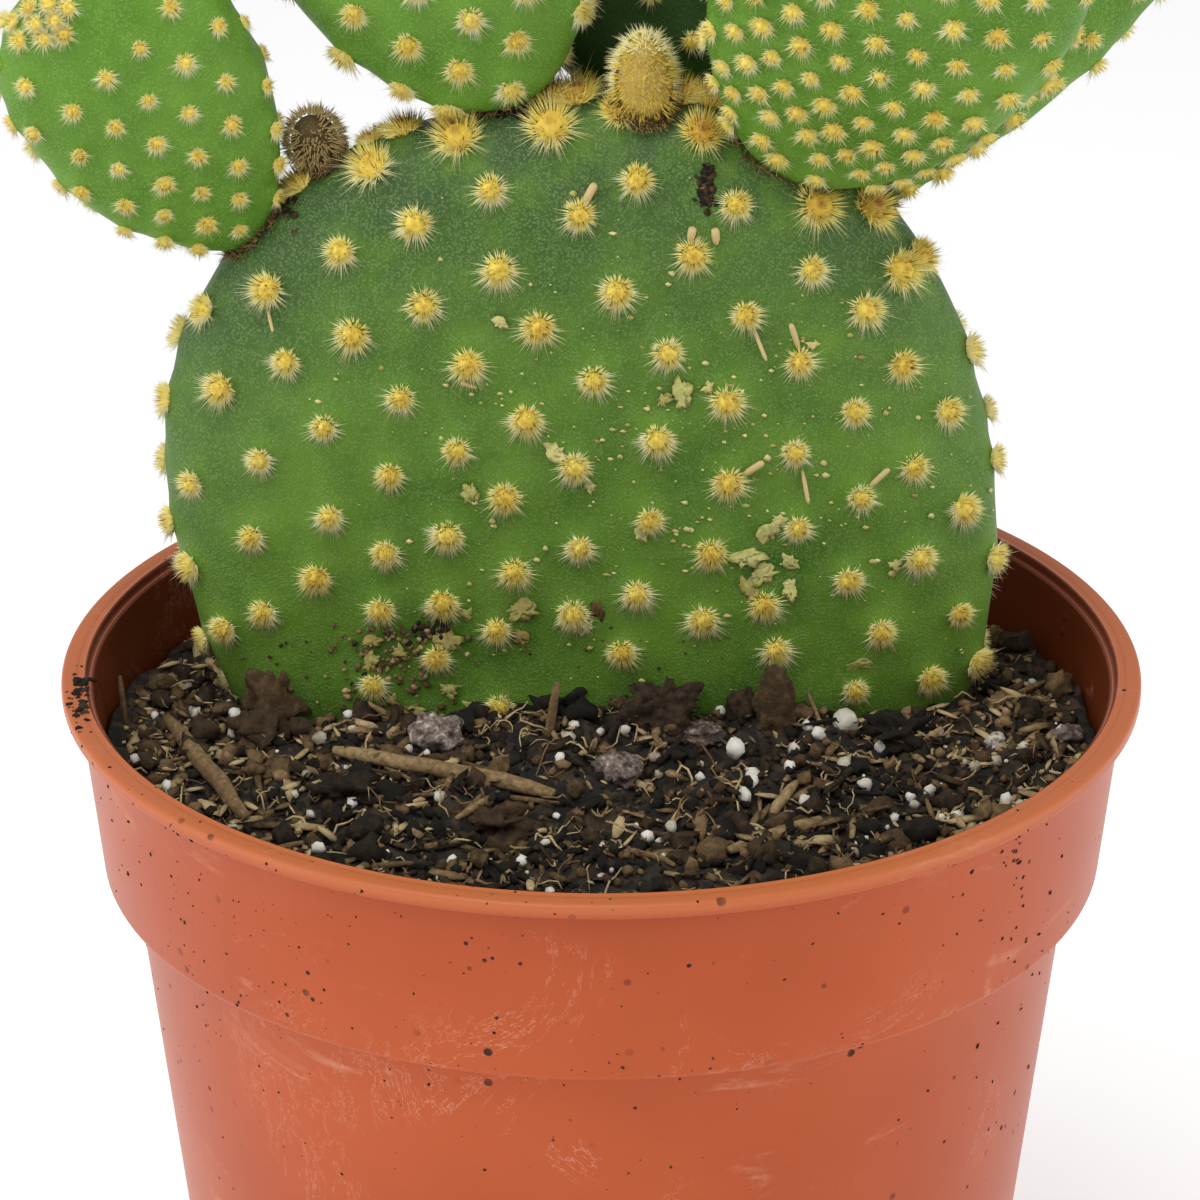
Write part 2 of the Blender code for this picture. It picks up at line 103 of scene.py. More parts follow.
MAIN = Pad("main_pad", (9.3, 8, 57), (-0.225, 0, 1), (0, 1, 0),
           91, 40.2, 10, 1.18, 2.25, 7.6, 1, 1.0, 250, 64, 6)
OFFSHOOTS = [
    Pad("left_pad", (-33.4, 6.5, 132.0), (-0.45, -0.15, 0.78), (-0.1, 1, 0),
        34, 11.7, 5.5, 1.45, 2.25, 4.5, 2, 0.62, 120, 60, 6),
    Pad("upper_left_pad", (-8.1, 7, 145.7), (-0.37, 0.02, 0.95), (0, 1, 0),
        46, 16.8, 7.0, 1.29, 2.2, 6.6, 3, 0.98, 200, 60, 6),
    Pad("rear_pad", (5.0, 14, 142.5), (0.0, 0.50, 1), (0, 1, 0),
        44, 17.5, 6.0, 1.30, 2.2, 6.4, 4, 0.85, 90, 24, 6),
    Pad("right_front_pad", (17.1, 5.2, 139.1), (0.40, -0.40, 0.90), (0, 1, 0),
        45, 16.7, 6.3, 1.44, 2.3, 4.1, 5, 0.72, 100, 40, 6),
    Pad("right_rear_pad", (26.9, 11.0, 134.1), (0.30, 0.15, 0.88), (0, 1, 0),
        49, 19.0, 6.5, 1.98, 2.15, 5.6, 6, 0.78, 90, 26, 6),
]
YOUNG_BUD = Pad("young_bud", (4.0, 5.5, 144.5), (0, -0.1, 1), (0, 1, 0),
                9.5, 2.9, 2.7, 0.95, 2.0, 2.3, 7, 0.65, 0, 0, 5)
DRY_BUD = Pad("dry_bud", (-26.6, 8, 139.6), (-0.25, 0, 1), (0, 1, 0),
              5.6, 2.6, 2.6, 1.00, 2.0, 2.2, 8, 0.65, 0, 0, 5)

# One tuft: its way on the pad, its size, and how orange and brown it is with age.
Tuft = namedtuple("Tuft", "way size age")

# Litter at its places in the photo. Grains have a radius in mm; sticks run between two pixels.
PERLITE_GRAINS = [((235, 718), 0.8), ((195, 716), 0.7), ((320, 743), 0.9), ((155, 718), 0.5),
                  ((288, 672), 1.0), ((680, 690), 0.7), ((845, 728), 1.2), ((845, 768), 0.8),
                  ((735, 755), 1.1), ((745, 800), 0.8), ((865, 790), 0.9), ((818, 738), 0.8),
                  ((875, 715), 0.8), ((995, 745), 0.9), ((880, 750), 0.6), ((690, 665), 0.9),
                  ((720, 715), 0.6), ((752, 778), 0.7), ((700, 780), 0.5), ((345, 775), 0.7),
                  ((910, 800), 0.5), ((975, 770), 0.6), ((1000, 700), 0.5), ((560, 760), 0.5),
                  ((640, 715), 0.5), ((805, 805), 0.7), ((790, 770), 0.6), ((170, 690), 0.5),
                  ((940, 735), 0.5), ((600, 735), 0.5), ((655, 760), 0.6), ((440, 800), 0.6)]
PERLITE_STREWN = 300
STICKS = [((335, 757), (440, 778), 0.75, 0.82), ((400, 768), (556, 802), 0.85, 0.78),
          ((168, 728), (246, 826), 0.95, 0.75), ((548, 726), (592, 792), 0.30, 0.80),
          ((728, 858), (822, 826), 0.70, 0.80), ((770, 822), (796, 788), 0.55, 0.84),
          ((180, 708), (196, 752), 0.28, 1.00), ((712, 658), (752, 680), 0.32, 0.52),
          ((430, 792), (560, 806), 0.30, 0.66), ((905, 690), (968, 668), 0.25, 0.88),
          ((1010, 700), (1046, 684), 0.30, 0.72), ((620, 850), (676, 868), 0.35, 0.72),
          ((250, 745), (262, 800), 0.35, 0.62), ((470, 770), (510, 758), 0.25, 0.84)]
# Crumbs get paler towards the pot's sides: painted light that lifts the shade of the pot's wall.
SIDE_PAINTED_LIGHT = 0.34
UPRIGHTS = [((326, 690), (336, 628), 0.22, 0.90), ((546, 736), (557, 682), 0.45, 0.72),
            ((556, 684), (588, 660), 0.30, 0.70), ((126, 722), (120, 676), 0.30, 0.66)]
# Name, place, half sizes in mm, lift in mm, shade and unevenness.
STONES = [("grain_front", (437, 742), (2.6, 2.2, 1.9), 1.1, 0.62, 0.35),
          ("grain_middle", (617, 780), (2.3, 2.0, 1.8), 1.0, 0.52, 0.30),
          ("grain_right", (1068, 742), (1.5, 1.2, 1.1), 0.6, 0.48, 0.50),
          ("grain_yellow", (995, 747), (1.0, 0.9, 0.9), 0.5, 0.95, 0.30),
          ("grain_flat", (697, 742), (2.5, 1.6, 1.1), 0.8, 0.44, 0.55),
          ("slug_chip", (286, 772), (2.4, 0.9, 0.8), 0.6, 0.42, 0.25),
          ("peat_lump", (288, 716), (3.5, 2.5, 3.5), 2.6, 0.54, 0.62),
          ("peat_lump_low", (262, 736), (2.6, 2.2, 2.0), 0.8, 0.48, 0.62),
          ("bark_shard", (775, 730), (1.9, 0.6, 3.7), 2.8, 0.52, 0.38),
          ("bark_shard_small", (742, 722), (1.4, 0.6, 2.2), 1.3, 0.42, 0.48),
          ("clod_middle", (500, 830), (3.2, 2.4, 1.8), 0.7, 0.48, 1.00),
          ("clod_left", (345, 800), (3.0, 2.0, 1.6), 0.6, 0.36, 1.00),
          ("clod_right", (900, 740), (3.0, 2.2, 1.9), 0.8, 0.30, 1.00),
          ("clod_back", (560, 715), (2.6, 2.0, 2.2), 0.9, 0.26, 1.00),
          ("clod_foot", (664, 724), (3.2, 2.0, 2.8), 1.6, 0.42, 1.00)]

# Marks on the old pad: place in the photo, size in mm and shade.
SKIN_FLAKES = [((470, 493), 0.9, 0.62), ((682, 395), 1.1, 0.70), ((664, 400), 0.7, 0.62),
               ((745, 555), 1.3, 0.72), ((762, 574), 1.1, 0.74), ((750, 590), 1.0, 0.52),
               ((895, 565), 0.8, 0.76), ((555, 452), 0.9, 0.78), ((522, 610), 1.2, 0.50),
               ((597, 609), 0.8, 0.08), ((466, 614), 0.8, 0.62), ((768, 532), 1.1, 0.76),
               ((780, 520), 0.6, 0.80), ((640, 533), 0.6, 0.66), ((590, 487), 0.6, 0.75),
               ((500, 322), 0.6, 0.80), ((858, 665), 1.1, 0.64), ((700, 622), 0.6, 0.74),
               ((812, 345), 0.6, 0.80), ((790, 562), 0.8, 0.74), ((448, 640), 1.2, 0.46),
               ((430, 660), 0.9, 0.40), ((400, 652), 0.8, 0.46), ((372, 640), 0.7, 0.42),
               ((432, 722), 1.3, 0.56), ((410, 712), 0.9, 0.50), ((392, 700), 0.8, 0.46),
               ((585, 628), 0.7, 0.62), ((565, 622), 0.6, 0.80), ((790, 588), 0.8, 0.72),
               ((708, 388), 0.6, 0.76), ((640, 690), 0.5, 0.70), ((520, 636), 0.8, 0.30),
               ((370, 662), 0.8, 0.52), ((450, 690), 0.9, 0.56), ((476, 708), 0.9, 0.60)]
SKIN_SPECKS = 420
SPECK_MIDDLE = (700, 470)
SPECK_SPREAD = (170, 120)
LEAF_STUBS = [((583, 206), (595, 184), 0.42), ((690, 241), (692, 227), 0.42),
              ((716, 244), (714, 228), 0.42), ((752, 326), (765, 358), 0.20),
              ((799, 350), (789, 322), 0.30), ((742, 476), (762, 459), 0.36),
              ((868, 488), (886, 466), 0.30), ((476, 388), (462, 380), 0.22),
              ((268, 310), (276, 330), 0.16), ((802, 470), (807, 500), 0.22)]
# Middle and spread in the photo, number, size in mm and shade.
CRUSTS = [((706, 190), (4, 9), 120, 0.34, 0.40), ((400, 645), (34, 16), 90, 0.34, 0.70),
          ((385, 680), (30, 24), 90, 0.36, 0.68), ((520, 110), (9, 4), 26, 0.50, 0.30),
          ((430, 625), (12, 6), 30, 0.36, 0.34), ((300, 655), (40, 12), 16, 0.22, 0.56),
          ((660, 650), (80, 12), 24, 0.18, 0.56), ((280, 208), (8, 14), 24, 0.40, 0.50)]
# Dirt on the pot: middle and spread in the photo, number, smallest and largest radius in mm.
POT_DIRT = [((80, 692), (6, 14), 45, 0.20, 0.75), ((80, 760), (6, 50), 24, 0.12, 0.40),
            ((150, 830), (40, 50), 46, 0.10, 0.36), ((250, 930), (50, 60), 36, 0.08, 0.26),
            ((1010, 930), (45, 70), 60, 0.08, 0.36), ((1015, 858), (8, 10), 14, 0.15, 0.50),
            ((215, 1010), (60, 22), 40, 0.08, 0.26), ((500, 960), (220, 60), 46, 0.07, 0.24),
            ((450, 1075), (260, 14), 34, 0.07, 0.24), ((600, 1140), (260, 40), 34, 0.07, 0.26),
            ((600, 912), (300, 8), 20, 0.08, 0.22)]
ALL_ROUND_SPECKS = 160

# Tufts on the old pad's front, where the photo shows them: rows that rise to the right.
FRONT_ROWS = [
    [(415, 224), (491, 190)],
    [(341, 252)],
    [(268, 290), (205, 310)],
    [(220, 388), (286, 362), (353, 335), (424, 305), (499, 270), (580, 215), (637, 180)],
    [(192, 483), (260, 460), (325, 427), (401, 398), (468, 365), (539, 328), (617, 292),
     (693, 255), (736, 205)],
    [(252, 537), (330, 517), (390, 475), (457, 450), (526, 420), (594, 380), (668, 353),
     (746, 315), (812, 270)],
    [(190, 565), (317, 578), (386, 553), (447, 535), (505, 497), (575, 467), (657, 440),
     (727, 402), (800, 362), (866, 310)],
    [(225, 628), (264, 612), (381, 610), (443, 603), (515, 572), (580, 548), (650, 520),
     (729, 483), (795, 452), (855, 411), (903, 365)],
    [(374, 685), (437, 658), (497, 630), (573, 614), (637, 594), (711, 553), (798, 528),
     (861, 497), (914, 467), (947, 411)],
    [(500, 708), (622, 652), (703, 620), (764, 605), (848, 580), (920, 558), (963, 508)],
    [(776, 650), (881, 632), (959, 613), (993, 557)],
    [(855, 690), (930, 678)],
]
# Old tufts and dry wool along the old pad's rim: place in the photo, size and age.
RIM_TUFTS = [((300, 185), 1.45, 0.6), ((396, 108), 1.45, 0.6), ((458, 137), 1.7, 0.4),
             ((551, 126), 1.8, 0.35), ((574, 84), 1.7, 0.9), ((683, 80), 1.7, 0.85),
             ((702, 132), 1.5, 0.8), ((620, 112), 1.3, 0.7), ((818, 205), 1.6, 0.5),
             ((872, 207), 1.6, 0.75), ((901, 270), 1.45, 0.35), ((930, 252), 1.2, 0.4),
             ((372, 167), 1.55, 0.1), ((512, 104), 1.1, 0.95), ((356, 106), 1.0, 0.95),
             ((283, 168), 1.2, 0.95), ((550, 96), 1.6, 0.95), ((712, 102), 1.5, 0.90)]
# Wool round the young pads' feet: how far from the old pad's rim it starts, and how dense it is.
WOOL_REACH = 0.7 * MM
WOOL_STRANDS = 3
# The crowded young tufts at the left pad's tip.
TIP_TUFTS = [(14, 22), (30, 8), (50, 4), (36, 24), (56, 20), (20, 40), (44, 38), (68, 8), (64, 34)]


# Working with pieces

def start_clean():
    bpy.ops.object.select_all(action="DESELECT")


def finish_piece(piece, slot, finish, *stands_for):
    """Gives a piece its finish, its body and the nodes that it stands for; slot is not used."""
    piece.data.materials.clear()
    piece.data.materials.append(finish)
    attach(piece, "root")
    if stands_for:
        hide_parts(*stands_for)
    return piece


def take_model():
    """The active object as an array of points and one of triangles; the object is removed."""
    thing = bpy.context.object
    start_clean()
    thing.select_set(True)
    bpy.ops.object.transform_apply(location=True, rotation=True, scale=True)
    mesh = thing.data
    mesh.calc_loop_triangles()
    points = np.array([point.co for point in mesh.vertices])
    triangles = np.array([triangle.vertices for triangle in mesh.loop_triangles])
    bpy.data.objects.remove(thing)
    return points, triangles


def mesh_object(name, points, triangles, smooth=False, **attributes):
    """An object of a mesh from arrays; each attribute has one value for each point."""
    mesh = bpy.data.meshes.new(name)
    mesh.vertices.add(len(points))
    mesh.vertices.foreach_set("co", np.asarray(points, np.float32).ravel())
    mesh.loops.add(3 * len(triangles))
    mesh.loops.foreach_set("vertex_index", np.asarray(triangles, np.int32).ravel())
    mesh.polygons.add(len(triangles))
    mesh.polygons.foreach_set("loop_start", np.arange(0, 3 * len(triangles), 3, dtype=np.int32))
    mesh.update(calc_edges=True)
    if smooth:
        mesh.shade_smooth()
    for word, values in attributes.items():
        attribute = mesh.attributes.new(word, "FLOAT", "POINT")
        attribute.data.foreach_set("value", np.asarray(values, np.float32).ravel())
    piece = bpy.data.objects.new(name, mesh)
    bpy.context.scene.collection.objects.link(piece)
    return piece


def copies(name, model, turns, places, smooth=False, **attributes):
    """One piece of many copies of a model, each turned by a matrix and put at its place."""
    points, triangles = model
    spread = np.einsum("nij,vj->nvi", turns, points) + places[:, None, :]
    first = np.arange(len(places)) * len(points)
    faces = triangles[None, :, :] + first[:, None, None]
    return mesh_object(name, spread.reshape(-1, 3), faces.reshape(-1, 3), smooth, **attributes)


def mixed_copies(name, models, turns, places, shades, smooth=False):
    """One piece of copies of several models by turns, each copy with its own shade."""
    points, faces, values, first = [], [], [], 0
    for kind, (model_points, triangles) in enumerate(models):
        own = slice(kind, None, len(models))
        spread = np.einsum("nij,vj->nvi", turns[own], model_points) + places[own][:, None, :]
        starts = first + np.arange(len(spread)) * len(model_points)
        points.append(spread.reshape(-1, 3))
        faces.append((triangles[None] + starts[:, None, None]).reshape(-1, 3))
        values.append(np.repeat(shades[own], len(model_points)))
        first += len(points[-1])
    return mesh_object(name, np.vstack(points), np.vstack(faces), smooth,
                       shade=np.concatenate(values))


def lump_model(seed, roughness, subdivisions=1):
    """An uneven lump about a unit in radius."""
    start_clean()
    bpy.ops.mesh.primitive_ico_sphere_add(subdivisions=subdivisions, radius=1)
    lump = bpy.context.object
    for point in lump.data.vertices:
        spot = point.co + Vector((seed, 3 * seed, 0))
        relief = noise.noise(1.7 * spot) + 0.4 * noise.noise(5 * spot) + 0.3 * noise.noise(11 * spot)
        point.co *= 1 + roughness * relief
    return take_model()


def scaled_turns(draw, scales, tilt):
    """Headings round the vertical with some tilt, times each copy's own three scales."""
    turns = []
    for scale in scales:
        heading = Matrix.Rotation(draw.uniform(0, 2 * pi), 3, "Z")
        axis = Vector((draw.normal(), draw.normal(), 0)).normalized()
        lean = Matrix.Rotation(draw.normal(0, tilt), 3, axis)
        turns.append(np.array(lean @ heading) * scale)
    return np.array(turns)


def tubes(name, paths, thickness, shades, sides=5):
    """Closed bars along paths, a little thinner to both ends, in one piece."""
    points, faces, values = [], [], []
    angles = 2 * pi * np.arange(sides) / sides
    for path, thick, shade in zip(paths, thickness, shades):
        path = np.array(path)
        along = np.gradient(path, axis=0)
        along /= np.linalg.norm(along, axis=1)[:, None]
        first = np.cross(np.array(Vector(path[-1] - path[0]).orthogonal()), along)
        first /= np.linalg.norm(first, axis=1)[:, None]
        second = np.cross(along, first)
        width = thick * (1 - 0.45 * np.abs(np.linspace(-1, 1, len(path))) ** 3)
        rim = (np.cos(angles)[None, :, None] * first[:, None]
               + np.sin(angles)[None, :, None] * second[:, None])
        rings = path[:, None] + width[:, None, None] * rim
        start = sum(len(part) for part in points)
        points.append(rings.reshape(-1, 3))
        values.append(np.full(len(points[-1]), shade))
        for ring in range(len(path) - 1):
            for side in range(sides):
                a, b = start + ring * sides + side, start + ring * sides + (side + 1) % sides
                faces += [(a, b, b + sides), (a, b + sides, a + sides)]
        end = start + (len(path) - 1) * sides
        for side in range(1, sides - 1):
            faces += [(start, start + side + 1, start + side), (end, end + side, end + side + 1)]
    return mesh_object(name, np.vstack(points), np.array(faces), sides > 3,
                       shade=np.concatenate(values))


def tree_of(piece):
    mesh = piece.data
    mesh.calc_loop_triangles()
    return BVHTree.FromPolygons([point.co for point in mesh.vertices],
                                [triangle.vertices[:] for triangle in mesh.loop_triangles])


# Places in the photo

def sight(pixel):
    """The direction from the camera through a pixel of the photo."""
    across, up = float(pixel[0]) / PHOTO_SIDE - 0.5, 0.5 - float(pixel[1]) / PHOTO_SIDE
    forward = Vector((0, cos(CAMERA_PITCH), -sin(CAMERA_PITCH)))
    upward = Vector((0, sin(CAMERA_PITCH), cos(CAMERA_PITCH)))
    spread = CAMERA_SENSOR / CAMERA_LENS
    return (forward + spread * (across * Vector((1, 0, 0)) + up * upward)).normalized()


def seen_on(tree, pixel):
    """The point of a body that the photo shows at a pixel, or the nearest one beside it."""
    direction = sight(pixel)
    point = tree.ray_cast(CAMERA_PLACE, direction)[0]
    if point is None:
        beside = CAMERA_PLACE + direction * (CAMERA_PLACE.length - 90 * MM)
        for _ in range(4):
            point = tree.find_nearest(beside)[0]
            beside = CAMERA_PLACE + direction * (point - CAMERA_PLACE).dot(direction)
    return point


# Materials

class Finish:
    """A Principled material, with short calls for the nodes that make its pattern."""

    def __init__(self, name, roughness, **sockets):
        self.material = bpy.data.materials.new(name)
        self.material.use_nodes = True
        self.tree = self.material.node_tree
        self.shader = self.tree.nodes["Principled BSDF"]
        self.shader.inputs["Roughness"].default_value = roughness
        for word, value in sockets.items():
            self.shader.inputs[word.replace("_", " ")].default_value = value
        self.place = self.tree.nodes.new("ShaderNodeTexCoord").outputs["Object"]

    def node(self, kind, **settings):
        node = self.tree.nodes.new("ShaderNode" + kind)
        for word, value in settings.items():
            setattr(node, word, value)
        return node

    def join(self, source, socket):
        """Links a socket, or sets it where the source is a plain value."""
        if isinstance(source, bpy.types.NodeSocket):
            self.tree.links.new(source, socket)
        elif isinstance(source, tuple) and len(source) == 3 and socket.type == "RGBA":
            socket.default_value = (*source, 1)
        else:
            socket.default_value = source

    def stretched(self, x, y, z):
        node = self.node("Mapping")
        self.join(self.place, node.inputs["Vector"])
        node.inputs["Scale"].default_value = (x, y, z)
        return node.outputs["Vector"]

    def centred(self, middle, half):
        """Object coordinates from a middle, in parts of the half sizes."""
        node = self.node("Mapping", vector_type="TEXTURE")
        self.join(self.place, node.inputs["Vector"])
        node.inputs["Location"].default_value = middle
        node.inputs["Scale"].default_value = half
        return node.outputs["Vector"]

    def noise(self, spacing, detail=2.0, roughness=0.5, distortion=0.0, place=None):
        """Soft noise with lumps about the given spacing in metres."""
        node = self.node("TexNoise")
        self.join(place or self.place, node.inputs["Vector"])
        node.inputs["Scale"].default_value = 1 / spacing
        node.inputs["Detail"].default_value = detail
        node.inputs["Roughness"].default_value = roughness
        node.inputs["Distortion"].default_value = distortion
        return node.outputs["Fac"]

    def cells(self, spacing, feature="F1", place=None):
        """Distance to the nearest of scattered points, in parts of their spacing."""
        node = self.node("TexVoronoi", feature=feature)
        self.join(place or self.place, node.inputs["Vector"])
        node.inputs["Scale"].default_value = 1 / spacing
        return node.outputs["Distance"]

    def cell_shades(self, spacing):
        """A random grey for each of the scattered points."""
        node = self.node("TexVoronoi")
        self.join(self.place, node.inputs["Vector"])
        node.inputs["Scale"].default_value = 1 / spacing
        split = self.node("SeparateColor")
        self.join(node.outputs["Color"], split.inputs["Color"])
        return split.outputs["Red"]

    def attribute(self, word):
        return self.node("Attribute", attribute_name=word).outputs["Fac"]

    def axis(self, which, place=None):
        node = self.node("SeparateXYZ")
        self.join(place or self.place, node.inputs["Vector"])
        return node.outputs[which]

    def length(self, vector):
        node = self.node("VectorMath", operation="LENGTH")
        self.join(vector, node.inputs[0])
        return node.outputs["Value"]

    def maths(self, operation, first, second=0.0, clamp=False):
        node = self.node("Math", operation=operation, use_clamp=clamp)
        self.join(first, node.inputs[0])
        self.join(second, node.inputs[1])
        return node.outputs["Value"]

    def band(self, value, low, high):
        """Rises from 0 to 1 between two values, or falls where low is the larger one."""
        node = self.node("MapRange", interpolation_type="SMOOTHSTEP")
        self.join(value, node.inputs["Value"])
        start, end = (0, 1) if low < high else (1, 0)
        for word, number in (("From Min", min(low, high)), ("From Max", max(low, high)),
                             ("To Min", start), ("To Max", end)):
            node.inputs[word].default_value = number
        return node.outputs["Result"]

    def ramp(self, value, *stops):
        """A colour ramp; each stop is its place and its colour."""
        node = self.node("ValToRGB")
        elements = node.color_ramp.elements
        while len(elements) < len(stops):
            elements.new(1)
        for element, (place, colour) in zip(elements, stops):
            element.position = place
            element.color = (*colour, 1)
        self.join(value, node.inputs["Fac"])
        return node.outputs["Color"]

    def mix(self, share, below, above, blend="MIX"):
        node = self.node("Mix", data_type="RGBA", blend_type=blend)
        self.join(share, node.inputs["Factor"])
        self.join(below, node.inputs[6])
        self.join(above, node.inputs[7])
        return node.outputs[2]

    def colour(self, value):
        self.join(value, self.shader.inputs["Base Color"])

    def roughness(self, value, low, high):
        node = self.node("MapRange")
        self.join(value, node.inputs["Value"])
        node.inputs["To Min"].default_value = low
        node.inputs["To Max"].default_value = high
        self.join(node.outputs["Result"], self.shader.inputs["Roughness"])

    def bump(self, height, depth, strength=1.0):
        """Adds relief of a depth in metres; several bumps add up."""
        node = self.node("Bump")
        node.inputs["Strength"].default_value = strength
        node.inputs["Distance"].default_value = depth
        self.join(height, node.inputs["Height"])
        before = self.shader.inputs["Normal"].links
        if before:
            self.join(before[0].from_socket, node.inputs["Normal"])
        self.join(node.outputs["Normal"], self.shader.inputs["Normal"])


def pot_plastic():
    """Terracotta-coloured plastic with dirt specks, chalky smears and fine scratches."""
    finish = Finish("terracotta_plastic", 0.4, Specular_IOR_Level=0.22)
    height = finish.axis("Z")
    tone = finish.noise(0.035, 3)
    plastic = finish.ramp(tone, (0.35, (0.385, 0.064, 0.014)), (0.65, (0.450, 0.082, 0.020)))
    # The lip's top in a paler pink: partly chalky wear and partly painted highlight.
    plastic = finish.mix(finish.band(height, 0.0902, 0.0915), plastic, (0.490, 0.132, 0.046))
    # Painted shade, partly dirt: the inside wall, whose normals face the axis, is darker where the
    # soil and rim keep the light off.
    inner = finish.node("VectorMath", operation="DOT_PRODUCT")
    finish.join(finish.stretched(1, 1, 0), inner.inputs[0])
    finish.join(finish.node("NewGeometry").outputs["Normal"], inner.inputs[1])
    inside = finish.band(inner.outputs["Value"], 0, -10 * MM)
    plastic = finish.mix(inside, plastic, (0.140, 0.026, 0.006))
    smear = finish.noise(0.012, 6, 0.7, 0.6, finish.stretched(0.5, 0.5, 1.6))
    smear = finish.maths("MULTIPLY", finish.band(smear, 0.60, 0.74), finish.noise(0.003, 5, 0.7))
    plastic = finish.mix(smear, plastic, (0.660, 0.330, 0.210))
    streak = finish.band(finish.noise(0.030, 7, 0.75, 2.5), 0.505, 0.500)
    streak = finish.maths("MULTIPLY", streak, finish.band(finish.noise(0.030, 7, 0.75, 2.5),
                                                          0.495, 0.500))
    streak = finish.maths("MULTIPLY", streak, finish.band(finish.noise(0.018), 0.52, 0.62))
    plastic = finish.mix(finish.maths("MULTIPLY", streak, 0.35), plastic, (0.800, 0.460, 0.340))
    speck = finish.maths("MULTIPLY", finish.band(finish.cells(0.0034), 0.15, 0.10),
                         finish.band(finish.noise(0.014, 2), 0.50, 0.62))
    grit = finish.maths("MULTIPLY", finish.band(finish.cells(0.0016), 0.16, 0.11),
                        finish.band(finish.noise(0.009, 3), 0.58, 0.66))
    dirt = finish.maths("MAXIMUM", speck, grit)
    finish.colour(finish.mix(dirt, plastic, (0.035, 0.014, 0.008)))
    finish.roughness(finish.maths("MAXIMUM", smear, dirt), 0.36, 0.8)
    finish.bump(finish.noise(0.0006, 3), 0.00002)
    finish.bump(dirt, 0.00012)
    return finish.material


def pad_finish(name, deep, light, grain, bloom_and_shade=None, halo=0.5, front=None):
    """Waxy pad skin: mottled green with a fine pale grain, lighter round the tufts. An optional
    darker bluish edge is partly waxy bloom and partly painted shade, and an optional front colour
    paints shade on the front face.
    """
    finish = Finish(name, 0.5, Specular_IOR_Level=0.22)
    tone = finish.noise(0.011, 4, 0.55)
    skin = finish.ramp(tone, (0.34, deep), (0.66, light))
    patch = finish.band(finish.noise(0.0042, 5, 0.65), 0.48, 0.66)
    skin = finish.mix(finish.maths("MULTIPLY", patch, 0.35), skin, light)
    near = finish.maths("MULTIPLY", finish.attribute("near_tuft"), halo)
    skin = finish.mix(near, skin, tuple(1.35 * part for part in light))
    # Darker bluish band towards the pad's sides and top: partly waxy bloom, partly painted shade
    # that keeps the top from looking lighter than the sides.
    if bloom_and_shade:
        middle, half, colour = bloom_and_shade
        edge = finish.band(finish.length(finish.centred(middle, half)), 0.64, 0.96)
        edge = finish.maths("MULTIPLY", edge, finish.band(finish.noise(0.006, 4, 0.6), 0.2, 0.6))
        skin = finish.mix(edge, skin, colour)
    dots = finish.band(finish.cells(0.00026), 0.62, 0.20)
    dots = finish.maths("MULTIPLY", dots, finish.band(finish.noise(0.0013, 3), 0.16, 0.60))
    skin = finish.mix(finish.maths("MULTIPLY", dots, 0.50), skin, grain)
    # Painted shade: the front face is multiplied darker, as if the pads before it kept the light
    # off.
    if front:
        shaded = finish.band(finish.attribute("facing_front"), -0.25, 0.45)
        skin = finish.mix(shaded, skin, finish.mix(1.0, skin, front, "MULTIPLY"))
    finish.colour(skin)
    finish.roughness(finish.noise(0.004, 4), 0.38, 0.62)
    finish.bump(finish.noise(0.0009, 4, 0.6), 0.00006)
    finish.bump(dots, 0.00003)
    return finish.material


def shaded_finish(name, roughness, spacing, stray, depth, *stops):
    """Small things coloured by their own shade, with some stray and relief."""
    finish = Finish(name, roughness, Specular_IOR_Level=0.3)
    change = finish.maths("MULTIPLY_ADD", finish.noise(spacing, 4, 0.65), 2 * stray)
    change.node.inputs[2].default_value = -stray
    shade = finish.maths("ADD", finish.attribute("shade"), change)
    finish.colour(finish.ramp(shade, *stops))
    finish.bump(finish.noise(spacing / 3, 4, 0.7), depth)
    return finish.material


GOLDEN_SPINES = (
    (0.00, (0.055, 0.020, 0.006)),
    (0.14, (0.360, 0.160, 0.022)),
    (0.32, (0.740, 0.500, 0.070)),
    (0.48, (0.880, 0.720, 0.130)),
    (0.70, (0.920, 0.820, 0.330)),
    (1.00, (0.940, 0.900, 0.660)),
)
DRY_WOOL = (
    (0.00, (0.030, 0.016, 0.008)),
    (0.30, (0.200, 0.120, 0.045)),
    (0.60, (0.420, 0.290, 0.110)),
    (1.00, (0.620, 0.480, 0.230)),
)
EARTH = (
    (0.00, (0.004, 0.003, 0.002)),
    (0.34, (0.013, 0.009, 0.005)),
    (0.54, (0.072, 0.041, 0.017)),
    (0.76, (0.240, 0.150, 0.068)),
    (1.00, (0.560, 0.420, 0.220)),
)
PERLITE = (
    (0.00, (0.060, 0.040, 0.026)),
    (0.35, (0.310, 0.250, 0.180)),
    (0.60, (0.570, 0.530, 0.440)),
    (1.00, (0.790, 0.770, 0.700)),
)
GRAINS = (
    (0.00, (0.018, 0.012, 0.010)),
    (0.40, (0.080, 0.056, 0.046)),
    (0.70, (0.240, 0.190, 0.160)),
    (1.00, (0.640, 0.590, 0.500)),
)
FLAKES = (
    (0.00, (0.060, 0.030, 0.012)),
    (0.30, (0.260, 0.170, 0.050)),
    (0.65, (0.420, 0.420, 0.120)),
    (1.00, (0.720, 0.620, 0.300)),
)


